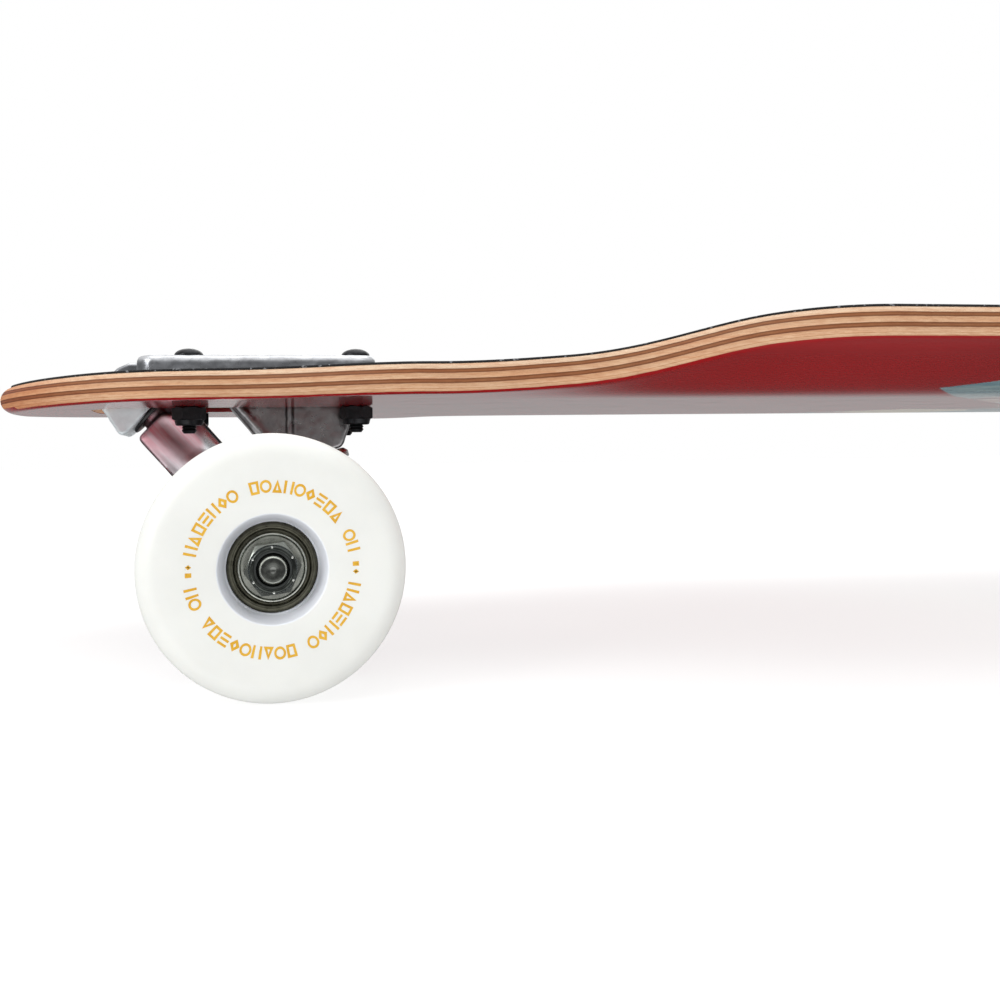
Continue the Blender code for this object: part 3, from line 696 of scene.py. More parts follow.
def steel_material(name, one, two, low, high, grooves=1800.0, metallic=1.0, tones=0.0, wear_and_highlights=()):
    """Turned steel: fine rings about the piece's own axis, and light mottling.
    tones says how far the rings show in the colour; the last argument holds bands
    painted brighter, as (from radius, to radius, colour, how much): painted highlights."""
    s = Shader(name, Metallic=metallic)
    px, py, pz = s.parts(s.place())
    radius = s.vmath("LENGTH", s.vector(px, py, 0.0), out=1)
    rings = s.noise(s.vector(s.math("MULTIPLY", radius, grooves), s.math("MULTIPLY", pz, grooves), 0.0), 1.0, 3.0, 0.7)
    mottle = s.noise(s.place(), 420.0, 5.0, 0.65)
    base = s.mix(s.ease(mottle, 0.32, 0.7), one, two)
    if tones:
        base = s.mix(s.ease(rings, 0.34, 0.62, tones, 0.0), base, s.mix(1.0, base, srgb(118, 118, 112), "MULTIPLY"))
    for inner, outer, colour, much in wear_and_highlights:
        band = s.math("MULTIPLY", s.ease(radius, inner - 0.0001, inner + 0.0001), s.ease(radius, outer - 0.0001, outer + 0.0001, much, 0.0))
        base = s.mix(band, base, colour)
    s.set("Base Color", base)
    rough = s.math("MULTIPLY_ADD", s.math("SUBTRACT", rings, 0.5), 0.16, s.ease(mottle, 0.3, 0.7, low, high, linear=True))
    s.set("Roughness", rough)
    s.set("Normal", s.bump(s.math("MULTIPLY_ADD", mottle, 0.4, rings), 0.018, 0.8))
    return s.material


def urethane_material():
    """Cast white urethane: satin, with a faint unevenness and fine lathe lines."""
    s = Shader(
        "urethane_white_satin", Specular_IOR_Level=0.5, Subsurface_Weight=0.12,
        Subsurface_Radius=(0.0045, 0.004, 0.0035), Subsurface_Scale=1.0,
    )
    px, py, pz = s.parts(s.place())
    radius = s.vmath("LENGTH", s.vector(px, py, 0.0), out=1)
    cloud = s.noise(s.place(), 60.0, 4.0)
    base = s.mix(s.ease(cloud, 0.3, 0.7), srgb(235, 236, 232), srgb(230, 231, 227))
    # the recess round the bearing is painted paler and cooler than the tyre: painted light on walls that lie in shade
    recess_painted_light = s.ease(radius, 0.0131, 0.0135, 1.0, 0.0)
    base = s.mix(recess_painted_light, base, srgb(240, 243, 250))
    s.set("Base Color", base)
    rings = s.noise(s.vector(s.math("MULTIPLY", radius, 2600.0), s.math("MULTIPLY", pz, 2600.0), 0.0), 1.0, 2.0)
    s.set("Roughness", s.ease(cloud, 0.3, 0.7, 0.34, 0.44, linear=True))
    fine = s.noise(s.place(), 1500.0, 3.0)
    s.set("Normal", s.bump(s.math("MULTIPLY_ADD", fine, 0.5, rings), 0.012, 0.6))
    return s.material


def print_material():
    """Screen-printed orange ink, thin in places."""
    s = Shader("print_orange", Specular_IOR_Level=0.4)
    blot = s.noise(s.place(), 1900.0, 4.0, 0.7)
    cloud = s.noise(s.place(), 260.0, 3.0)
    base = s.mix(s.ease(cloud, 0.3, 0.7), srgb(214, 160, 30), srgb(226, 176, 52))
    base = s.mix(s.ease(blot, 0.56, 0.72, 0.0, 0.5), base, srgb(244, 212, 128))
    s.set("Base Color", base)
    s.set("Roughness", s.ease(blot, 0.3, 0.7, 0.38, 0.55, linear=True))
    s.set("Normal", s.bump(blot, 0.01, 0.6))
    return s.material


def rubber_material(name, one, two, low, high):
    s = Shader(name, Specular_IOR_Level=0.5)
    cloud = s.noise(s.place(), 240.0, 4.0)
    fine = s.noise(s.place(), 1600.0, 4.0, 0.65)
    s.set("Base Color", s.mix(s.ease(cloud, 0.3, 0.7), one, two))
    s.set("Roughness", s.ease(fine, 0.3, 0.7, low, high, linear=True))
    s.set("Normal", s.bump(fine, 0.02, 0.6))
    return s.material


MAPLE = deck_material()
GRIP = grip_material()
CAST = cast_material()
POLISHED = polished_material()
STEEL = steel_material("plated_steel_turned", srgb(176, 177, 174), srgb(200, 201, 198), 0.20, 0.32)
WASHER = steel_material("washer_steel", srgb(196, 198, 190), srgb(216, 218, 208), 0.22, 0.34)
BEARING = steel_material("bearing_steel_dark", srgb(106, 105, 92), srgb(130, 129, 114), 0.24, 0.38, 2400.0, tones=0.9)
# painted highlight: a bright ring on the chamfer of the axle's end, and its centre painted lighter
AXLE_STEEL = steel_material(
    "axle_steel_oiled", srgb(70, 72, 70), srgb(98, 100, 96), 0.2, 0.32,
    wear_and_highlights=((0.0, 0.0008, srgb(140, 142, 138), 0.5), (0.0029, 0.0033, srgb(196, 200, 192), 0.9)),
)
# painted highlight: the nut's corners, chamfers and collar rim painted brighter
NUT_STEEL = steel_material(
    "axle_nut_black_zinc", srgb(58, 61, 59), srgb(84, 88, 84), 0.16, 0.28, 1400.0,
    wear_and_highlights=((0.0058, 0.02, srgb(150, 154, 148), 0.55),),
)
# bright steel for the axle nut's crimps, as painted glints
CRIMP = steel_material("crimp_bright_steel", srgb(208, 210, 204), srgb(226, 228, 222), 0.12, 0.2)
BLACK = steel_material("black_oxide", srgb(30, 31, 33), srgb(46, 47, 50), 0.26, 0.42, 1400.0, 0.75)
NYLON = rubber_material("nylon_insert", srgb(36, 40, 38), srgb(52, 56, 54), 0.34, 0.5)
BUSHING = rubber_material("bushing_urethane_black", srgb(26, 26, 27), srgb(38, 38, 40), 0.28, 0.42)
URETHANE = urethane_material()
PRINT = print_material()


# ---- pieces placed on their bodies -------------------------------------------------
def finished(obj, material=None, angle=35.0):
    if material is not None:
        coated(obj, material)
    smooth(obj, angle)
    return obj


def placed(pattern, name, matrix, body, node):
    """One more piece of the pattern's mesh, in place of a CAD node."""
    obj = bpy.data.objects.new(name, pattern.data)
    bpy.context.scene.collection.objects.link(obj)
    obj.matrix_world = matrix
    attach(obj, body)
    if node:
        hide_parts(node)
    return obj


def dropped(*patterns):
    for pattern in patterns:
        bpy.data.objects.remove(pattern)


# ---- deck ---------------------------------------------------------------------------
def half_width(from_tip):
    t = np.asarray(from_tip, float)
    q = np.clip((t + 1.5) / NOSE_LENGTH, 0.0, 1.0)
    nose = (1.0 - (1.0 - q) ** 2.2) ** 0.58
    width = NOSE_HALF_WIDTH * nose + 22.0 * smoothstep(72, 130, t) + 35.0 * smoothstep(169, 249, t)
    cap = np.clip(1.0 - t / 1.5, 0.0, 1.0)
    return width * np.sqrt(1.0 - cap**2)


def underside(x, across):
    t = DECK_HALF_LENGTH - np.abs(x)
    rise = 12.0 * smoothstep(131, 219.5, t) * smoothstep(60, 121, np.abs(across))
    return DECK_UNDERSIDE + rise - 1.6 * np.clip(1.0 - t / 55.0, 0.0, 1.0) ** 1.6


def sheet(name, profile, tips, across):
    """A pressed sheet over the deck's plan. profile is (inset, height) points
    round its edge, from the top face's rim to the underside's, and at both
    tips it eases into the points of tips."""
    t, step = [0.0], 0.10
    while t[-1] < DECK_HALF_LENGTH:
        step = min(0.10 + 0.035 * t[-1], 2.4)
        t.append(t[-1] + step)
    t = np.array(t) * (DECK_HALF_LENGTH / t[-1])
    x = np.concatenate([t - DECK_HALF_LENGTH, (DECK_HALF_LENGTH - t)[-2::-1]])
    w = half_width(DECK_HALF_LENGTH - np.abs(x))
    w[0] = w[-1] = 0.0
    dx, dw = np.gradient(x), np.gradient(w)
    dx[0] = dx[-1] = 0.0
    size = np.hypot(dx, dw)
    nx, nw = -dw / size, dx / size
    nx[0], nx[-1] = -1.0, 1.0
    at_tip = 1.0 - smoothstep(3.0, 48.0, DECK_HALF_LENGTH - np.abs(x))
    rows = len(x)
    points, ring_at = [], []
    for (off, height), (tip_off, tip_height) in zip(profile, tips):
        reach = off + (tip_off - off) * at_tip
        px, pw = x - nx * reach, np.maximum(w - nw * reach, 0.0)
        pw[0] = pw[-1] = 0.0
        z = underside(px, pw) + height + (tip_height - height) * at_tip
        ring_at.append(len(points))
        points += [(px[k], -pw[k], z[k]) for k in range(rows)]
        points += [(px[k], pw[k], z[k]) for k in range(rows - 2, 0, -1)]
    loop = 2 * rows - 2
    faces = []
    for p in range(len(profile) - 1):
        a, b = ring_at[p], ring_at[p + 1]
        for k in range(loop):
            m = (k + 1) % loop
            faces.append((a + k, b + k, b + m, a + m))
    for p, flip in ((0, False), (len(profile) - 1, True)):
        base, height = ring_at[p], profile[p][1]
        grid = []
        for k in range(rows):
            if k in (0, rows - 1):
                grid.append([base + k])
                continue
            left = points[base + k]
            right_index = base + (2 * rows - 2 - k)
            right = points[right_index]
            row = [base + k]
            for j in range(1, across):
                y = left[1] + (right[1] - left[1]) * j / across
                row.append(len(points))
                points.append((left[0], y, float(underside(left[0], y)) + height))
            row.append(right_index)
            grid.append(row)
        for one, two in zip(grid, grid[1:]):
            if len(one) == 1:
                new = [(one[0], two[j + 1], two[j]) for j in range(len(two) - 1)]
            elif len(two) == 1:
                new = [(one[j], one[j + 1], two[0]) for j in range(len(one) - 1)]
            else:
                new = [
                    (one[j], one[j + 1], two[j + 1], two[j]) for j in range(across)
                ]
            faces += [f[::-1] for f in new] if flip else new
    return outward(made(name, points, faces))


def arc(off, height, radius, start, end, steps):
    """Points round an arris: centre (off, height), angles in degrees."""
    out = []
    for k in range(steps + 1):
        a = math.radians(start + (end - start) * k / steps)
        out.append((off - radius * math.cos(a), height + radius * math.sin(a)))
    return out


def slot_cutter(end, flare):
    x = sorted(end * (TRUCK_X - u) for u in (-57.8, 30.6))
    levels = [(-4.0, 0.0), (DECK_UNDERSIDE - 8.0, 0.0), (120.0, 0.0)]
    if flare:
        low, top = DECK_UNDERSIDE - 0.3, DECK_UNDERSIDE + DECK_THICKNESS + 0.3
        levels = [
            (low - 8.0, -flare), (low, -flare), (low + flare, 0.0),
            (top - 0.9, 0.0), (top, -0.9), (top + 20.0, -0.9),
        ]
    return stacked("slot", [plan(x[0], x[1], 15.0, 6.0, off, z) for z, off in levels])


def hole_cutters(end, radius):
    out = []
    for u in (-BOLT_U, BOLT_U):
        for v in (-BOLT_V, BOLT_V):
            low, top = DECK_UNDERSIDE - 0.2, DECK_UNDERSIDE + DECK_THICKNESS + 0.2
            hole = turned(
                "hole",
                [
                    (0.0, top + 9.0), (radius + 0.4, top + 9.0), (radius + 0.4, top),
                    (radius, top - 0.4), (radius, low + 0.5), (radius + 0.5, low),
                    (radius + 0.5, low - 9.0), (0.0, low - 9.0),
                ],
                28, ring=False,
            )
            out.append(baked(hole, Matrix.Translation((end * (TRUCK_X - u) * MM, v * MM, 0.0))))
    return out


edge_profile = (
    arc(1.5, DECK_THICKNESS - 1.4, 1.4, 90.0, 0.0, 6)
    + [(0.02, 5.6), (0.0, 4.2), (0.04, 3.0)]
    + arc(2.4, 2.2, 2.2, 0.0, -90.0, 7)
)
bullnose = []
for k in range(len(edge_profile)):
    a = math.pi / 2 - math.pi * k / (len(edge_profile) - 1)
    bullnose.append((4.6 * (1.0 - math.cos(a)), DECK_THICKNESS / 2 * (1.0 + math.sin(a))))
grip_profile = [
    (1.25, GRIP_TOP), (0.95, GRIP_TOP - 0.08), (0.75, GRIP_TOP - 0.3),
    (0.75, GRIP_BASE - 0.1), (0.9, GRIP_BASE - 0.2),
]
deck = sheet("deck_laminate", edge_profile, bullnose, 56)
grip = sheet("grip_sheet", grip_profile, [(off + 2.5, h) for off, h in grip_profile], 56)
for end in (-1, 1):
    boolean(deck, merged("cut", [slot_cutter(end, 1.3)] + hole_cutters(end, 2.75)))
    boolean(grip, merged("cut", [slot_cutter(end, 0.0)] + hole_cutters(end, 2.9)))
finished(deck, MAPLE, 40.0)
finished(grip, GRIP, 40.0)
for obj, node, name in ((deck, "deck", "maple_plywood"), (grip, "grip_tape", "grip_tape")):
    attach(obj, "board")
    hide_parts(node)


# ---- baseplate ------------------------------------------------------------------------
def baseplate_casting():
    lift = [(0.5, 85.36), (0.12, 85.6), (0.0, 86.0), (0.25, 90.7)]
    for k in range(1, 7):
        a = math.radians(90.0 * k / 6)
        lift.append((0.25 + 1.9 * (1.0 - math.cos(a)), 90.7 + 1.9 * math.sin(a)))
    flange = stacked(
        "flange", [plan(*FLANGE_U, FLANGE_HALF_WIDTH, 6.0, off, z, 8) for off, z in lift]
    )
    mouth = PIVOT - NOSE_DIR * PIVOT_MOUTH
    low = mouth - FACE_DIR * 10.7
    high = mouth + FACE_DIR * ((FLANGE_Z[0] + 0.8 - mouth.z) / FACE_DIR.z)
    boss = sidewise(
        "boss",
        rounded(
            [
                (FLANGE_U[0] + 4.0, 91.6, 0), (-46.5, 91.4, 2.0), (-50.6, 89.6, 3.0),
                (-54.2, 85.6, 4.0), (-56.2, 80.5, 3.0), (-56.0, 77.0, 3.0),
                (-50.2, 68.2, 1.0), (-49.0, 67.4, 0.8), (low.x, low.z, 0.6),
                (high.x, high.z, 0),
            ],
            1.0, steps=3,
        ),
        12.0, 1.6, 4,
    )
    seat_out, seat_in = SEAT - SEAT_ALONG * 10.5, SEAT + SEAT_ALONG * 11.2
    wedge = sidewise(
        "wedge",
        [
            (-17.5, 87.2), (-17.5, 81.0), (seat_out.x, seat_out.z),
            (seat_in.x, seat_in.z), (26.1, 71.3), (28.5, 78.0), (28.5, 87.2),
        ],
        12.1, 1.1, 3,
    )
    rib = sidewise("rib", [(4.4, 87.0), (4.4, 60.2), (6.5, 60.2), (6.5, 87.0)], 13.5, 0.6, 2)
    rails = [
        sidewise("rail", [(-16.9, 86.6), (-15.9, 80.3), (seat_out.x + 1.2, seat_out.z + 2.0), (seat_out.x + 3.0, seat_out.z + 2.0), (-13.6, 81.2), (-14.6, 86.6)], 12.75, 0.4, 2)
    ]
    casting = merged("baseplate_casting", [flange, boss, wedge, rib] + rails)
    remeshed(casting, 0.5, 3)
    # a shallow panel in the top face, clear of the bolt heads
    panel = stacked(
        "panel",
        [plan(-19.0, 19.5, 22.5, 5.0, off, z, 6) for off, z in ((1.0, 91.75), (0.35, 91.95), (0.0, 92.4), (-0.35, 92.8), (-0.6, 96.0))],
    )
    boolean(casting, panel)
    roughened(casting, ((2.2, 0.10), (6.0, 0.12), (0.9, 0.035)))
    king = baked(
        turned(
            "king_bore",
            [(0.0, 26.0), (5.05, 26.0), (5.05, -23.7), (7.9, -23.7), (7.9, -60.0), (0.0, -60.0)],
            64, ring=False,
        ),
        along(SEAT, KING_DIR),
    )
    boolean(casting, king)
    boolean(casting, baked(cup_solid("pocket", 7.1, 8.2, 14.0, 10.5), along(PIVOT, -NOSE_DIR)))
    holes = []
    for u in (SPARE_HOLE_U, -BOLT_U, BOLT_U):
        for v in (-BOLT_V, BOLT_V):
            hole = turned(
                "hole",
                [(0.0, 98.0), (3.3, 98.0), (3.3, 92.7), (2.75, 92.1), (2.75, 80.0), (0.0, 80.0)],
                32, ring=False,
            )
            holes.append(baked(hole, Matrix.Translation((u * MM, v * MM, 0.0))))
    boolean(casting, merged("holes", holes))
    return finished(casting, CAST, 32.0)


def cup_solid(name, ball, mouth, reach, flare):
    """A rounded cone, from its wide mouth to its closed end."""
    points = [(0.0, reach), (flare, reach), (mouth, PIVOT_MOUTH), (ball, 0.0)]
    for k in range(1, 9):
        a = math.pi / 2 * k / 8
        points.append((ball * math.cos(a) if k < 8 else 0.0, -ball * math.sin(a)))
    return turned(name, points, 64, ring=False)


def pivot_cup():
    inner = [(6.65, PIVOT_MOUTH + 1.3), (5.75, 0.0)]
    outer = [(8.05, PIVOT_MOUTH + 0.1), (7.0, 0.0)]
    for k in range(1, 9):
        a = math.pi / 2 * k / 8
        inner.append((5.75 * math.cos(a) if k < 8 else 0.0, -5.75 * math.sin(a)))
        outer.append((7.0 * math.cos(a) if k < 8 else 0.0, -7.0 * math.sin(a)))
    lip = rounded(
        [(6.65, 8.1, 0.3), (9.4, 8.1, 0.45), (9.4, 6.95, 0.3), (8.05, 6.95, 0.2)],
        0.3, closed=False, steps=3,
    )
    return finished(turned("pivot_cup", inner[:0:-1] + lip + outer[1:], 64, ring=False), BUSHING)


# ---- turned pieces on the kingpin ----------------------------------------------------
def threaded(radius, low, high, pitch=1.25, depth=0.55):
    """Profile down a threaded stretch, as close rings."""
    out, h = [], high
    while h > low + pitch * 0.5:
        out += [(radius, h), (radius, h - pitch * 0.12), (radius - depth, h - pitch * 0.5)]
        h -= pitch
    return out + [(radius, low)]


def hexagon(name, radius, low, high, bore, chamfer=0.8, turn=0.0, both=True, steps=72):
    """A hexagon with its corners turned down at the ends, and a bore if asked."""
    flat = radius * math.cos(math.pi / 6)
    body = stacked(name, [polygon(6, radius, low, turn), polygon(6, radius, high, turn)])
    ends = [(0.0, high), (flat - 0.15, high), (radius + 0.05, high - chamfer)]
    if both:
        ends += [(radius + 0.05, low + chamfer), (flat - 0.15, low), (0.0, low)]
    else:
        ends += [(radius + 0.05, low), (0.0, low)]
    boolean(body, turned("lathe", ends, steps, ring=False), "INTERSECT")
    if bore:
        cut = turned(
            "bore",
            [
                (0.0, high + 1.0), (bore + 0.9, high + 1.0), (bore + 0.5, high),
                (bore, high - 0.5), (bore, low + 0.5), (bore + 0.5, low),
                (bore + 0.9, low - 1.0), (0.0, low - 1.0),
            ],
            steps, ring=False,
        )
        boolean(body, cut)
    return body


def kingpin():
    shank = turned(
        "shank",
        [(0.0, 48.0), (3.6, 48.0), (4.75, 47.0)]
        + threaded(4.75, 30.0, 46.9)[1:]
        + [(4.75, 29.8), (4.75, -24.2), (0.0, -24.2)],
        64, ring=False,
    )
    head = hexagon("head", 7.3, -29.2, -24.0, 0.0, 0.7, math.radians(12), both=False)
    # the head's chamfered face is the upper one, at the low end of its axis
    baked(head, Matrix.Translation((0, 0, (-53.2) * MM)) @ Matrix.Rotation(math.pi, 4, "X"))
    return finished(merged("kingpin", [shank, head]), STEEL, 28.0)


def ring_on_pin(name, low, high, radius, hole, material, waist=0.0, edge=0.9):
    outline = [(hole, high, 0.3), (radius, high, edge)]
    for k in range(1, 12):
        t = k / 12
        outline.append((radius - waist * 4 * t * (1 - t), high + (low - high) * t, 0))
    outline += [(radius, low, edge), (hole, low, 0.3)]
    outline += [(hole, low + (high - low) * k / 8, 0) for k in range(1, 8)]
    return finished(turned(name, rounded(outline, 0.3, steps=5), 80), material)


def cup_washer(name, flat, rim, lip):
    way = math.copysign(1.0, rim - flat)
    back = flat - way * 1.2
    outline = [
        (5.0, back, 0.2), (lip - 0.4, back, 0.9), (lip + 0.9, back + way * 1.3, 0.5),
        (lip + 0.9, rim, 0.35), (lip + 0.1, rim, 0.3), (lip, flat, 0.5), (5.0, flat, 0.2),
    ]
    return finished(turned(name, rounded(outline, 0.3, steps=4), 80), STEEL)


def kingpin_nut():
    body = hexagon("nut", 8.25, 38.4, 44.4, 4.85, 0.8)
    coated(body, STEEL)
    collar = turned(
        "collar",
        rounded([(4.85, 46.2, 0.2), (6.6, 46.2, 0.8), (7.0, 44.2, 0.3), (7.0, 43.9, 0), (4.85, 43.9, 0)], 0.2, steps=4),
        64,
    )
    coated(collar, STEEL)
    insert = turned("insert", rounded([(4.4, 45.6), (5.6, 45.6), (5.6, 46.32), (4.4, 46.32)], 0.12), 48)
    coated(insert, NYLON)
    return smooth(merged("kingpin_nut", [body, collar, insert]), 28.0)


# ---- hanger ----------------------------------------------------------------------------
def crowned(obj, origin, across, down, width):
    """The arm's two sides fluted: two long swells with a valley between."""
    mesh = obj.data
    n = len(mesh.vertices)
    co = np.empty(n * 3, np.float32)
    mesh.vertices.foreach_get("co", co)
    co = co.reshape(-1, 3).astype(float)
    rel = co * 1000.0 - np.array(origin)
    c = rel @ np.array(across) / width
    s = rel @ np.array(down)
    belly = 0.5 - 0.5 * np.cos(4.0 * math.pi * np.clip(c, 0.0, 1.0))
    side = np.abs(rel[:, 1])
    share = smoothstep(7.0, 9.3, side) * (1.0 - smoothstep(10.2, 11.5, side))
    share *= smoothstep(-1.0, 3.0, s) * (1.0 - smoothstep(24.0, 32.0, s))
    co[:, 1] += np.sign(rel[:, 1]) * (0.72 * belly - 0.5) * share * MM * (np.abs(c - 0.5) < 0.56)
    mesh.vertices.foreach_set("co", co.ravel().astype(np.float32))
    mesh.update()
    return obj


def hanger_casting():
    beam = baked(
        turned(
            "beam",
            rounded(
                [
                    (0.0, 90.0, 0), (7.6, 90.0, 0.5), (7.6, 88.4, 0.4), (8.4, 87.4, 0.8),
                    (8.4, 70.0, 12.0), (9.5, 40.0, 12.0), (9.5, -40.0, 12.0),
                    (8.4, -70.0, 12.0), (8.4, -87.4, 0.8), (7.6, -88.4, 0.4),
                    (7.6, -90.0, 0.5), (0.0, -90.0, 0),
                ],
                0.5, closed=False, steps=5,
            ),
            64, ring=False,
        ),
        along(AXLE, (0, 1, 0)),
    )
    arm_dir = (AXLE - Vector((-37.8, 0.0, 72.9))).normalized()
    end_low = Vector((-44.4, 0.0, 66.6))
    end_high = end_low + FACE_DIR * ((75.0 - end_low.z) / FACE_DIR.z)
    right_top = Vector((-25.6, 0.0, 75.0))
    left_foot, right_foot = end_low + arm_dir * 44.0, right_top + arm_dir * 44.0
    arm = sidewise(
        "arm",
        [
            (end_low.x, end_low.z), (end_high.x, end_high.z), (right_top.x, right_top.z),
            (right_foot.x, right_foot.z), (AXLE.x, AXLE.z - 4.0), (left_foot.x, left_foot.z),
        ],
        9.5, 1.3, 4,
    )
    arm_side = Vector((-arm_dir.z, 0.0, arm_dir.x))
    turn = Matrix((Vector((0, 1, 0)), arm_side, arm_dir)).transposed().to_4x4()
    if turn.determinant() < 0:
        turn = Matrix((Vector((0, 1, 0)), -arm_side, arm_dir)).transposed().to_4x4()
    spread = rounded(
        [(8.6, 12.0, 6), (12.0, 26.0, 18), (20.0, 38.0, 18), (38.0, 47.0, 18), (60.0, 50.5, 8), (64.0, 56.5, 2)],
        4.0, closed=False, steps=6,
    )
    outline = spread + [(-y, s) for y, s in reversed(spread)]
    fairing = sidewise("fairing", [(y, s) for y, s in outline], 4.6, 2.6, 5)
    # sidewise lays its outline in (x, z): the plate's outline is (v, along the arm)
    place = Matrix.Translation(Vector((-37.8, 0.0, 72.9)) * MM) @ turn
    baked(fairing, place)
    low, high = RING_CENTRE - RING_HALF, RING_CENTRE + RING_HALF
    ring = baked(
        turned("ring", rounded([(0.0, high, 0), (14.5, high, 1.3), (14.5, low, 1.3), (0.0, low, 0)], 1.3, closed=False), 64, ring=False),
        along(SEAT, KING_DIR),
    )
    middle = SEAT + KING_DIR * RING_CENTRE
    tongue = sidewise(
        "tongue",
        [
            tuple((middle + SEAT_ALONG * a + KING_DIR * b).xz)
            for a, b in ((-21.0, -4.1), (-4.0, -4.1), (-4.0, 4.1), (-21.0, 4.1))
        ],
        12.3, 1.5, 4,
    )
    nose_profile = [(0.0, 15.5), (6.6, 15.5), (6.4, 13.0), (5.2, 0.0)]
    for k in range(1, 9):
        a = math.pi / 2 * k / 8
        nose_profile.append((5.2 * math.cos(a) if k < 8 else 0.0, -5.2 * math.sin(a)))
    nose = baked(turned("nose", nose_profile, 64, ring=False), along(PIVOT, -NOSE_DIR))
    casting = merged("hanger_casting", [beam, arm, fairing, ring, tongue, nose])
    remeshed(casting, 0.55, 5)
    crowned(casting, end_low, FACE_DIR, arm_dir, (right_top - end_low).dot(FACE_DIR))
    roughened(casting, ((9.0, 0.10), (3.0, 0.02)))
    boolean(
        casting,
        baked(
            turned(
                "ring_bore",
                [(0.0, high + 3.0), (9.6, high + 3.0), (9.6, high + 0.4), (8.7, high - 0.5), (8.7, low + 0.5), (9.6, low - 0.4), (9.6, low - 3.0), (0.0, low - 3.0)],
                80, ring=False,
            ),
            along(SEAT, KING_DIR),
        ),
    )
    boolean(
        casting,
        baked(turned("axle_bore", [(0.0, 130.0), (4.06, 130.0), (4.06, -130.0), (0.0, -130.0)], 64, ring=False), along(AXLE, (0, 1, 0))),
    )
    return finished(casting, POLISHED, 32.0)


def axle():
    half = 123.8
    profile = [(0.0, half - 0.45), (0.6, half - 0.3), (1.2, half), (2.7, half), (2.95, half - 0.08), (3.25, half - 0.42), (3.95, half - 1.6)]
    profile += threaded(3.95, 112.0, half - 1.8, 1.0, 0.45)
    profile += [(4.0, 111.6)]
    mirrored_profile = [(r, -h) for r, h in reversed(profile)]
    return finished(turned("axle", profile + mirrored_profile, 64, ring=False), AXLE_STEEL, 28.0)


# ---- wheels and bearings, axis along local Z, origin at the hub's middle plane -----------
def wheel():
    o, i = WHEEL_Y[1], WHEEL_Y[0]
    outline = [
        (11.3, 114.6, 0.15), (11.45, 115.9, 0.4), (13.1, o, 0.55), (27.0, o, 9.0),
        (WHEEL_RADIUS, o - 5.4, 7.0), (WHEEL_RADIUS, i + 5.4, 7.0), (27.0, i, 9.0),
        (13.4, i, 0.6), (11.45, 90.0, 0.3), (11.1, 90.4, 0), (11.1, 98.2, 0),
        (9.4, 98.3, 0.2), (9.4, 107.7, 0.2), (11.1, 107.8, 0), (11.1, 114.4, 0),
    ]
    # the lips: a full round of 5.4 mm between the faces and the tread
    lip = []
    for k in range(13):
        a = math.radians(90.0 - 90.0 * k / 12)
        lip.append((WHEEL_RADIUS - 5.4 + 5.4 * math.cos(a), o - 5.4 + 5.4 * math.sin(a)))
    back = [(r, i + o - h) for r, h in reversed(lip)]
    inner_out = rounded(
        [(11.1, 112.0, 0), (11.1, 115.2, 0.1), (11.5, 115.8, 0.4), (13.1, o, 0.55), (20.0, o, 0)],
        0.3, closed=False, steps=5,
    )[:-1]
    inner_in = rounded(
        [(20.0, i, 0), (13.4, i, 0.6), (11.5, 90.2, 0.4), (11.1, 90.8, 0.1), (11.1, 98.2, 0)],
        0.3, closed=False, steps=5,
    )[1:]
    profile = inner_out + lip + back + inner_in + [(9.4, 98.3), (9.4, 107.7), (11.1, 107.8)]
    return finished(turned("wheel", profile, 192), URETHANE, 40.0)


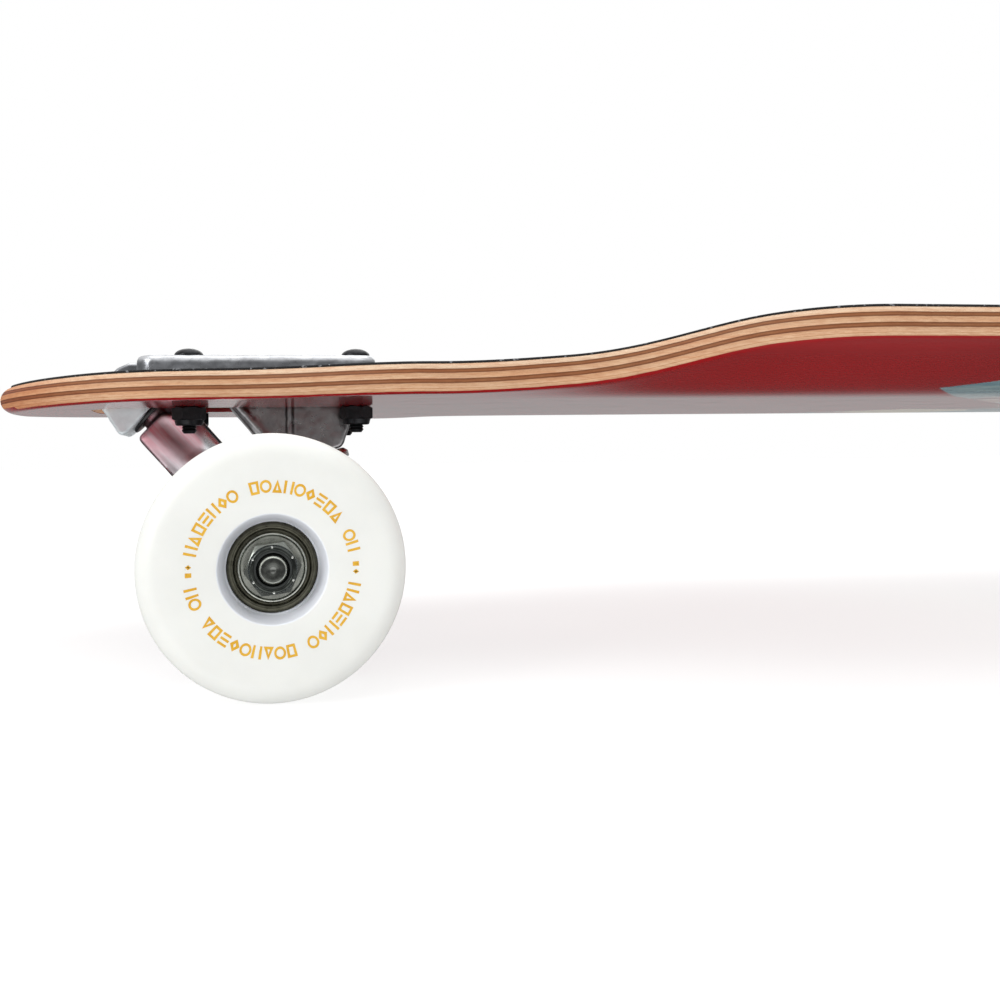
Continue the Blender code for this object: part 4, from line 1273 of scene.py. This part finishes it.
def marks():
    """A ring of plain geometric marks printed on the outer face: outlines of
    circles, squares, triangles and bars, with no letters among them."""
    face = WHEEL_Y[1]
    low, high = face - 0.05, face + 0.02
    stroke = 0.6
    pieces = []

    def flat(points_in, points_out, closed=True):
        """A stroke between two outlines of one count, as a thin closed slab."""
        n = len(points_in)
        verts = [(x, y, low) for x, y in points_in] + [(x, y, low) for x, y in points_out]
        verts += [(x, y, high) for x, y in points_in] + [(x, y, high) for x, y in points_out]
        faces = []
        for k in range(n if closed else n - 1):
            m = (k + 1) % n
            faces.append((2 * n + k, 2 * n + m, 3 * n + m, 3 * n + k))
            faces.append((k, n + k, n + m, m))
            faces.append((n + k, 3 * n + k, 3 * n + m, n + m))
            faces.append((k, m, 2 * n + m, 2 * n + k))
        if not closed:
            faces.append((0, 2 * n, 3 * n, n))
            faces.append((n - 1, 2 * n - 1, 4 * n - 1, 3 * n - 1))
        return verts, faces

    def local(shape, cx, cy, size):
        """Outline pairs of one mark about its middle, in its own x (along the
        ring) and y (outwards)."""
        h, w = size / 2, size * 0.36
        out = []
        if shape == "circle":
            inner = [((h - stroke) * math.cos(math.tau * k / 24) * 0.9, (h - stroke) * math.sin(math.tau * k / 24)) for k in range(24)]
            outer = [(h * math.cos(math.tau * k / 24) * 0.9, h * math.sin(math.tau * k / 24)) for k in range(24)]
            out.append((inner, outer, True))
        elif shape == "square":
            out.append(([(-w + stroke, -h + stroke), (w - stroke, -h + stroke), (w - stroke, h - stroke), (-w + stroke, h - stroke)],
                        [(-w, -h), (w, -h), (w, h), (-w, h)], True))
        elif shape == "triangle":
            out.append(([(-w + stroke * 1.3, -h + stroke), (w - stroke * 1.3, -h + stroke), (0.0, h - stroke * 2.1)],
                        [(-w * 1.15, -h), (w * 1.15, -h), (0.0, h)], True))
        elif shape == "bars":
            for c in (-w * 0.75, w * 0.75):
                out.append(([(c - stroke / 2, -h), (c - stroke / 2, h)], [(c + stroke / 2, -h), (c + stroke / 2, h)], False))
        elif shape == "diamond":
            out.append(([(-w + stroke * 1.3, 0.0), (0.0, -h + stroke * 1.6), (w - stroke * 1.3, 0.0), (0.0, h - stroke * 1.6)],
                        [(-w * 1.1, 0.0), (0.0, -h), (w * 1.1, 0.0), (0.0, h)], True))
        elif shape == "bar":
            out.append(([(-stroke / 2, -h), (-stroke / 2, h)], [(stroke / 2, -h), (stroke / 2, h)], False))
        elif shape == "rungs":
            for c in (-h + stroke / 2, 0.0, h - stroke / 2):
                out.append(([(-w, c - stroke / 2), (w, c - stroke / 2)], [(-w, c + stroke / 2), (w, c + stroke / 2)], False))
        return out

    order = ["bars", "triangle", "square", "rungs", "bars", "diamond", "circle", None,
             "square", "circle", "triangle", "bars", "circle", "diamond", "rungs", "square", "triangle", None,
             "circle", "bars"]
    middle, size = 19.75, 3.1

    def put(shape, angle, radius, size):
        for a, b, closed in local(shape, 0, 0, size):
            def turn_in(points):
                out = []
                for x, y in points:
                    r, g = radius + y, angle - x / radius
                    out.append((r * math.cos(g), r * math.sin(g)))
                return out
            verts, faces = flat(turn_in(a), turn_in(b), closed)
            pieces.append((verts, faces))

    for start in (166.0, -14.0):
        for k, shape in enumerate(order):
            if shape:
                put(shape, math.radians(start - 7.95 * k), middle, size)
    for side in (180.0, 0.0):
        put("square", math.radians(side + 2.6), middle, 1.5)
        put("diamond", math.radians(side - 2.8), middle, 1.5)
    points, faces = [], []
    for verts, fs in pieces:
        base = len(points)
        points += verts
        faces += [tuple(v + base for v in f) for f in fs]
    return finished(outward(made("marks", points, faces)), PRINT, 20.0)


def bearing(name, y):
    """Both races, the balls' cage hidden, and a pressed shield on each face."""
    top, low = y + 7.0, y
    mid = (top + low) / 2
    race_out = turned("race_out", rounded([(9.35, top, 0.2), (11.0, top, 0.45), (11.0, low, 0.45), (9.35, low, 0.2)], 0.3, steps=4), 96)
    race_in = turned("race_in", rounded([(4.08, top, 0.25), (6.15, top, 0.25), (6.15, low, 0.25), (4.08, low, 0.25)], 0.3, steps=4), 72)
    shields = []
    for way, face in ((1.0, top), (-1.0, low)):
        profile = [
            (6.3, face - way * 0.75), (6.5, face - way * 0.45), (7.0, face - way * 0.40),
            (7.15, face - way * 0.55), (7.45, face - way * 0.55), (7.6, face - way * 0.38),
            (8.6, face - way * 0.30), (8.72, face - way * 0.12), (8.98, face - way * 0.12),
            (9.08, face - way * 0.42), (9.30, face - way * 0.50), (9.30, face - way * 0.95),
            (6.3, face - way * 0.95),
        ]
        shields.append(turned("shield", profile, 96))
    return finished(merged(name, [race_out, race_in] + shields), BEARING, 30.0)


def speed_washer(name, face, out=1.0, radius=8.3):
    """A pressed washer, its rim rolled up towards the nut."""
    base, rise = face + 0.06 * out, out
    profile = rounded(
        [
            (4.1, base, 0.1), (7.3, base, 0.5), (radius, base + rise * 0.25, 0.3),
            (radius, base + rise * 1.15, 0.2), (radius - 0.4, base + rise * 1.15, 0.15),
            (radius - 0.7, base + rise * 0.72, 0.3), (4.1, base + rise * 0.72, 0.1),
        ],
        0.2, steps=4,
    )
    return finished(turned(name, profile, 96), WASHER, 35.0)


def axle_nut():
    face = 115.0
    turn = math.radians(0.0)
    body = hexagon("nut", 6.95, face + 0.95, face + 6.3, 4.0, 0.75, turn)
    coated(body, NUT_STEEL)
    collar = turned(
        "collar",
        rounded([(4.55, face + 7.9, 0.25), (5.55, face + 7.9, 0.55), (5.9, face + 6.4, 0.25), (5.9, face + 5.9, 0), (4.55, face + 5.9, 0)], 0.2, steps=5),
        96,
    )
    coated(collar, NUT_STEEL)
    # six small crimps round the collar in bright steel: painted glints on the collar
    crimps = []
    for k in range(6):
        a = math.radians(60.0 * k + 25.0)
        bump = turned("crimp", [(0.0, 0.34), (0.24, 0.24), (0.34, 0.0), (0.24, -0.24), (0.0, -0.34)], 16, ring=False)
        crimps.append(baked(bump, Matrix.Translation((5.35 * math.cos(a) * MM, 5.35 * math.sin(a) * MM, (face + 7.72) * MM))))
    crimps = coated_all(crimps, CRIMP)
    insert = turned("insert", rounded([(3.98, face + 6.6), (4.7, face + 6.6), (4.7, face + 7.55), (3.98, face + 7.55)], 0.12), 64)
    coated(insert, NYLON)
    return smooth(merged("axle_nut", [body, collar, insert] + crimps), 28.0)


def spacer():
    """The tube between a wheel's two bearings."""
    return finished(
        turned("spacer", rounded([(4.08, 107.9), (5.6, 107.9), (5.6, 98.1), (4.08, 98.1)], 0.25), 48), STEEL
    )


# ---- mounting bolt and nut, at one corner --------------------------------------------------
def mounting_bolt():
    top = FLANGE_Z[1]
    rise = 1.95
    dome = [(0.0, top + 0.65 + rise)]
    for k in range(1, 9):
        a = math.radians(80.0 * k / 8)
        dome.append((4.6 * math.sin(a) / math.sin(math.radians(80)), top + 0.65 + rise * (math.cos(a) - math.cos(math.radians(80))) / (1 - math.cos(math.radians(80)))))
    dome += [(4.6, top + 0.3), (4.4, top + 0.1), (2.4, top + 0.1), (2.4, 74.0), (2.4, 73.8)]
    dome += threaded(2.4, 68.6, 73.6, 0.8, 0.33)[1:] + [(1.7, 67.7), (0.0, 67.7)]
    body = turned("bolt", dome, 56, ring=False)
    cross = []
    for turn in (0.0, math.pi / 2):
        loops = []
        for z, half_long, half_thin in ((top + 1.1, 0.9, 0.35), (top + 3.6, 2.15, 0.55)):
            loops.append([(sx * half_long * math.cos(turn) - sy * half_thin * math.sin(turn), sx * half_long * math.sin(turn) + sy * half_thin * math.cos(turn), z) for sx, sy in ((1, 1), (-1, 1), (-1, -1), (1, -1))])
        boolean(body, stacked("recess", loops), solver="EXACT")
    return finished(body, BLACK, 32.0)


def mounting_nut():
    top = DECK_UNDERSIDE - 0.1
    body = hexagon("nut", 5.5, 71.9, top, 2.5, 0.55, math.radians(11))
    coated(body, BLACK)
    collar = turned("collar", rounded([(2.6, 72.2, 0), (4.75, 72.2, 0), (4.6, 71.6, 0.2), (4.25, 70.2, 0.6), (2.6, 70.2, 0.15)], 0.2, steps=4), 56)
    coated(collar, BLACK)
    insert = turned("insert", rounded([(2.32, 70.5), (3.3, 70.5), (3.3, 71.4), (2.32, 71.4)], 0.1), 40)
    coated(insert, NYLON)
    return smooth(merged("mounting_nut", [body, collar, insert]), 28.0)


# ---- both trucks ---------------------------------------------------------------------------
king_place = along(SEAT, KING_DIR)
FIXED = [
    (baseplate_casting(), "baseplate", Matrix.Identity(4), "cast_aluminium"),
    (pivot_cup(), "pivot_cup", along(PIVOT, -NOSE_DIR), "bushing_urethane"),
    (kingpin(), "kingpin", king_place, "plated_steel"),
    (kingpin_nut(), "kingpin_nut", king_place, "plated_steel"),
    (ring_on_pin("bushing_board", 1.9, 16.3, 12.2, 5.9, BUSHING, 0.7), "bushing_board", king_place, "bushing_urethane"),
    (ring_on_pin("bushing_road", 25.9, 36.4, 11.4, 5.9, BUSHING, 0.6), "bushing_road", king_place, "bushing_urethane"),
    (cup_washer("cup_washer_board", 1.5, 3.6, 12.6), "cup_washer_board", king_place, "plated_steel"),
    (cup_washer("cup_washer_road", 36.8, 34.8, 11.9), "cup_washer_road", king_place, "plated_steel"),
]
STEERED = [
    (hanger_casting(), "hanger", Matrix.Identity(4), "polished_aluminium"),
    (axle(), "axle", along(AXLE, (0, 1, 0)), "plated_steel"),
]
outer_face, inner_face = 115.0, 91.0
plain_place = along(AXLE, (0, -1, 0), roll=0.0)
ON_AXLE = [
    (axle_nut(), "axle_nut", along(AXLE, (0, -1, 0), roll=math.radians(7.0)), "black_steel"),
    (speed_washer("axle_washer", outer_face), "axle_washer", plain_place, "plated_steel"),
]
WITH_AXLE = [
    (speed_washer("inner_washer", inner_face, out=-0.62, radius=7.6), "inner_washer", plain_place, "plated_steel"),
]
ROLLING = [
    (wheel(), "wheel", plain_place, "urethane_white"),
    (bearing("bearing_outer", 108.0), "bearing_outer", plain_place, "bearing_steel"),
    (bearing("bearing_inner", 91.0), "bearing_inner", plain_place, "bearing_steel"),
]
WITH_WHEEL = [
    (marks(), "wheel_print", plain_place, "urethane_white"),
    (spacer(), "bearing_spacer", plain_place, "plated_steel"),
]
bolt, nut = mounting_bolt(), mounting_nut()

about_axle = (
    Matrix.Translation((AXLE.x * MM, 0.0, 0.0))
    @ Matrix.Rotation(math.pi, 4, "Z")
    @ Matrix.Translation((-AXLE.x * MM, 0.0, 0.0))
)



def squeezed(pattern, name, matrix, end, near, far, node):
    """A bushing, a fixed copy of the pattern with its placement baked in. near and
    far, heights along the kingpin for the end that would stay with the board and
    the end that would go with the hanger, are not used."""
    obj = bpy.data.objects.new(name, pattern.data.copy())
    bpy.context.scene.collection.objects.link(obj)
    obj.matrix_world = matrix
    bpy.context.view_layer.update()
    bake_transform(obj)
    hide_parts(node)
    return obj


SQUEEZED = {"bushing_board": (3.0, 15.6), "bushing_road": (35.4, 26.6)}
for end, place in TRUCKS.items():
    for pattern, node, where, slot in FIXED:
        if node in SQUEEZED:
            squeezed(pattern, f"{end}_{node}_detail", place @ where, end, *SQUEEZED[node], f"{end}_{node}")
        else:
            placed(pattern, f"{end}_{node}_detail", place @ where, "board", f"{end}_{node}")
    for pattern, node, where, slot in STEERED:
        placed(pattern, f"{end}_{node}_detail", place @ where, f"{end}_hanger_body", f"{end}_{node}")
    for side, turn in (("left", Matrix.Identity(4)), ("right", about_axle)):
        if end == "rear":
            side = "right" if side == "left" else "left"
        for pattern, node, where, slot in ON_AXLE:
            placed(pattern, f"{end}_{side}_{node}_detail", place @ turn @ where, f"{end}_hanger_body", f"{end}_{side}_{node}")
        for pattern, name, where, slot in WITH_AXLE:
            placed(pattern, f"{end}_{side}_{name}", place @ turn @ where, f"{end}_hanger_body", None)
        for pattern, node, where, slot in ROLLING:
            placed(pattern, f"{end}_{side}_{node}_detail", place @ turn @ where, f"{end}_{side}_wheel_body", f"{end}_{side}_{node}")
        for pattern, name, where, slot in WITH_WHEEL:
            placed(pattern, f"{end}_{side}_{name}", place @ turn @ where, f"{end}_{side}_wheel_body", None)
    count = 0
    for u in (-BOLT_U, BOLT_U):
        for v in (-BOLT_V, BOLT_V):
            count += 1
            corner = place @ Matrix.Translation((u * MM, v * MM, 0.0)) @ Matrix.Rotation(0.7 * count, 4, "Z")
            placed(bolt, f"{end}_mounting_bolt_{count}_detail", corner, "board", f"{end}_mounting_bolt_{count}")
            corner = place @ Matrix.Translation((u * MM, v * MM, 0.0)) @ Matrix.Rotation((0.0, 0.35, 0.6, 0.2)[count - 1], 4, "Z")
            placed(nut, f"{end}_mounting_nut_{count}_detail", corner, "board", f"{end}_mounting_nut_{count}")
dropped(bolt, nut, *[p[0] for p in FIXED + STEERED + ON_AXLE + WITH_AXLE + ROLLING + WITH_WHEEL])


# ---- studio --------------------------------------------------------------------------------
def floor():
    """A pale, evenly lit floor, wide enough to run out of sight."""
    n, size = 60, 60.0
    points, faces = [], []
    for i in range(n + 1):
        for j in range(n + 1):
            points.append(((i / n - 0.5) * size * 1000, (j / n - 0.5) * size * 1000, -0.05))
    for i in range(n):
        for j in range(n):
            a = i * (n + 1) + j
            faces.append((a, a + n + 1, a + n + 2, a + 1))
    obj = made("studio_floor", points, faces)
    s = Shader("studio_floor_white", Specular_IOR_Level=0.1)
    cloud = s.noise(s.place(), 3.0, 4.0)
    s.set("Base Color", s.mix(s.ease(cloud, 0.3, 0.7), (0.31, 0.31, 0.31), (0.33, 0.33, 0.33)))
    s.set("Roughness", s.ease(cloud, 0.3, 0.7, 0.62, 0.72, linear=True))
    away = s.vmath("LENGTH", s.place(), out=1)
    s.set("Emission Color", (1.0, 1.0, 1.0))
    s.set("Emission Strength", s.ease(away, 0.6, 3.0, 0.72, 0.90))
    coated(obj, s.material)
    # soft reflections come from the studio round the object, not from the floor
    obj.visible_glossy = False
    return obj


floor()


def area(name, place, aim, size, power, colour=(1.0, 1.0, 1.0)):
    data = bpy.data.lights.new(name, "AREA")
    data.shape = "RECTANGLE"
    data.size, data.size_y = size
    data.energy = power
    data.color = colour
    obj = bpy.data.objects.new(name, data)
    bpy.context.scene.collection.objects.link(obj)
    obj.location = place
    obj.rotation_euler = (Vector(aim) - Vector(place)).to_track_quat("-Z", "Y").to_euler()
    obj.visible_camera = False
    return obj


area("softbox_top", (-0.1, 0.1, 1.9), (0.0, 0.0, 0.0), (2.4, 1.6), 14.0)
area("softbox_left", (-2.0, -1.3, 0.85), (-0.3, 0.0, 0.05), (0.8, 0.9), 15.0)
area("softbox_front", (0.2, -1.7, 1.5), (-0.2, 0.0, 0.06), (1.8, 0.8), 2.5)
area("softbox_back", (0.3, 2.0, 1.0), (0.0, 0.0, 0.05), (2.0, 0.8), 6.0)


def studio_world():
    """Soft light all round: bright overhead and behind the board, dim behind
    the viewer and below, so that metal and lacquer have something to show."""
    world = bpy.data.worlds.new("studio")
    bpy.context.scene.world = world
    world.use_nodes = True
    tree = world.node_tree
    tree.nodes.clear()

    def node(kind, inputs=(), out=0, **props):
        made_node = tree.nodes.new("ShaderNode" + kind)
        for key, value in props.items():
            setattr(made_node, key, value)
        for key, value in dict(inputs).items():
            if isinstance(value, bpy.types.NodeSocket):
                tree.links.new(value, made_node.inputs[key])
            else:
                made_node.inputs[key].default_value = value
        return made_node.outputs[out]

    def ease(value, a, b, low, high):
        return node(
            "MapRange",
            {"Value": value, "From Min": a, "From Max": b, "To Min": low, "To Max": high},
            interpolation_type="SMOOTHSTEP",
        )

    split = tree.nodes.new("ShaderNodeSeparateXYZ")
    tree.links.new(node("TexCoord", out="Generated"), split.inputs[0])
    across, height = split.outputs[1], split.outputs[2]
    horizon = ease(across, -0.25, 0.45, 0.30, 0.40)
    lower = ease(across, -0.80, -0.15, 1.70, 0.05)
    upper = node(
        "Mix", {0: ease(height, 0.10, 0.60, 0.0, 1.0), 2: horizon, 3: 0.95}, data_type="FLOAT"
    )
    level = node(
        "Mix", {0: ease(height, -0.42, -0.12, 0.0, 1.0), 2: lower, 3: upper}, data_type="FLOAT"
    )
    studio = node("Background", {0: (1.0, 1.0, 1.0, 1.0), 1: level})
    plain = node("Background", {0: (1.0, 1.0, 1.0, 1.0), 1: 1.0})
    shown = node(
        "MixShader", {0: node("LightPath", out="Is Camera Ray"), 1: studio, 2: plain}
    )
    end = tree.nodes.new("ShaderNodeOutputWorld")
    tree.links.new(shown, end.inputs[0])


studio_world()
bpy.context.scene.view_settings.view_transform = "Standard"

# ---- camera --------------------------------------------------------------------------------
YAW, PITCH, ROLL = math.radians(8.951), math.radians(2.082), math.radians(-0.760)
forward = Vector((math.sin(YAW) * math.cos(PITCH), math.cos(YAW) * math.cos(PITCH), math.sin(PITCH)))
right = forward.cross(Vector((0.0, 0.0, 1.0))).normalized()
up = right.cross(forward)
c, n = math.cos(ROLL), math.sin(ROLL)
right, up = right * c + up * n, up * c - right * n
camera_data = bpy.data.cameras.new("camera")
camera_data.sensor_width = 36.0
camera_data.lens = 40.964
camera_data.shift_x = 0.073
camera_data.shift_y = -0.0786
camera_data.clip_start = 0.01
camera = bpy.data.objects.new("camera", camera_data)
bpy.context.scene.collection.objects.link(camera)
camera.matrix_world = Matrix.Translation(Vector((-390.3, -394.7, 57.3)) * MM) @ Matrix(
    (right, up, -forward)
).transposed().to_4x4()
bpy.context.scene.camera = camera
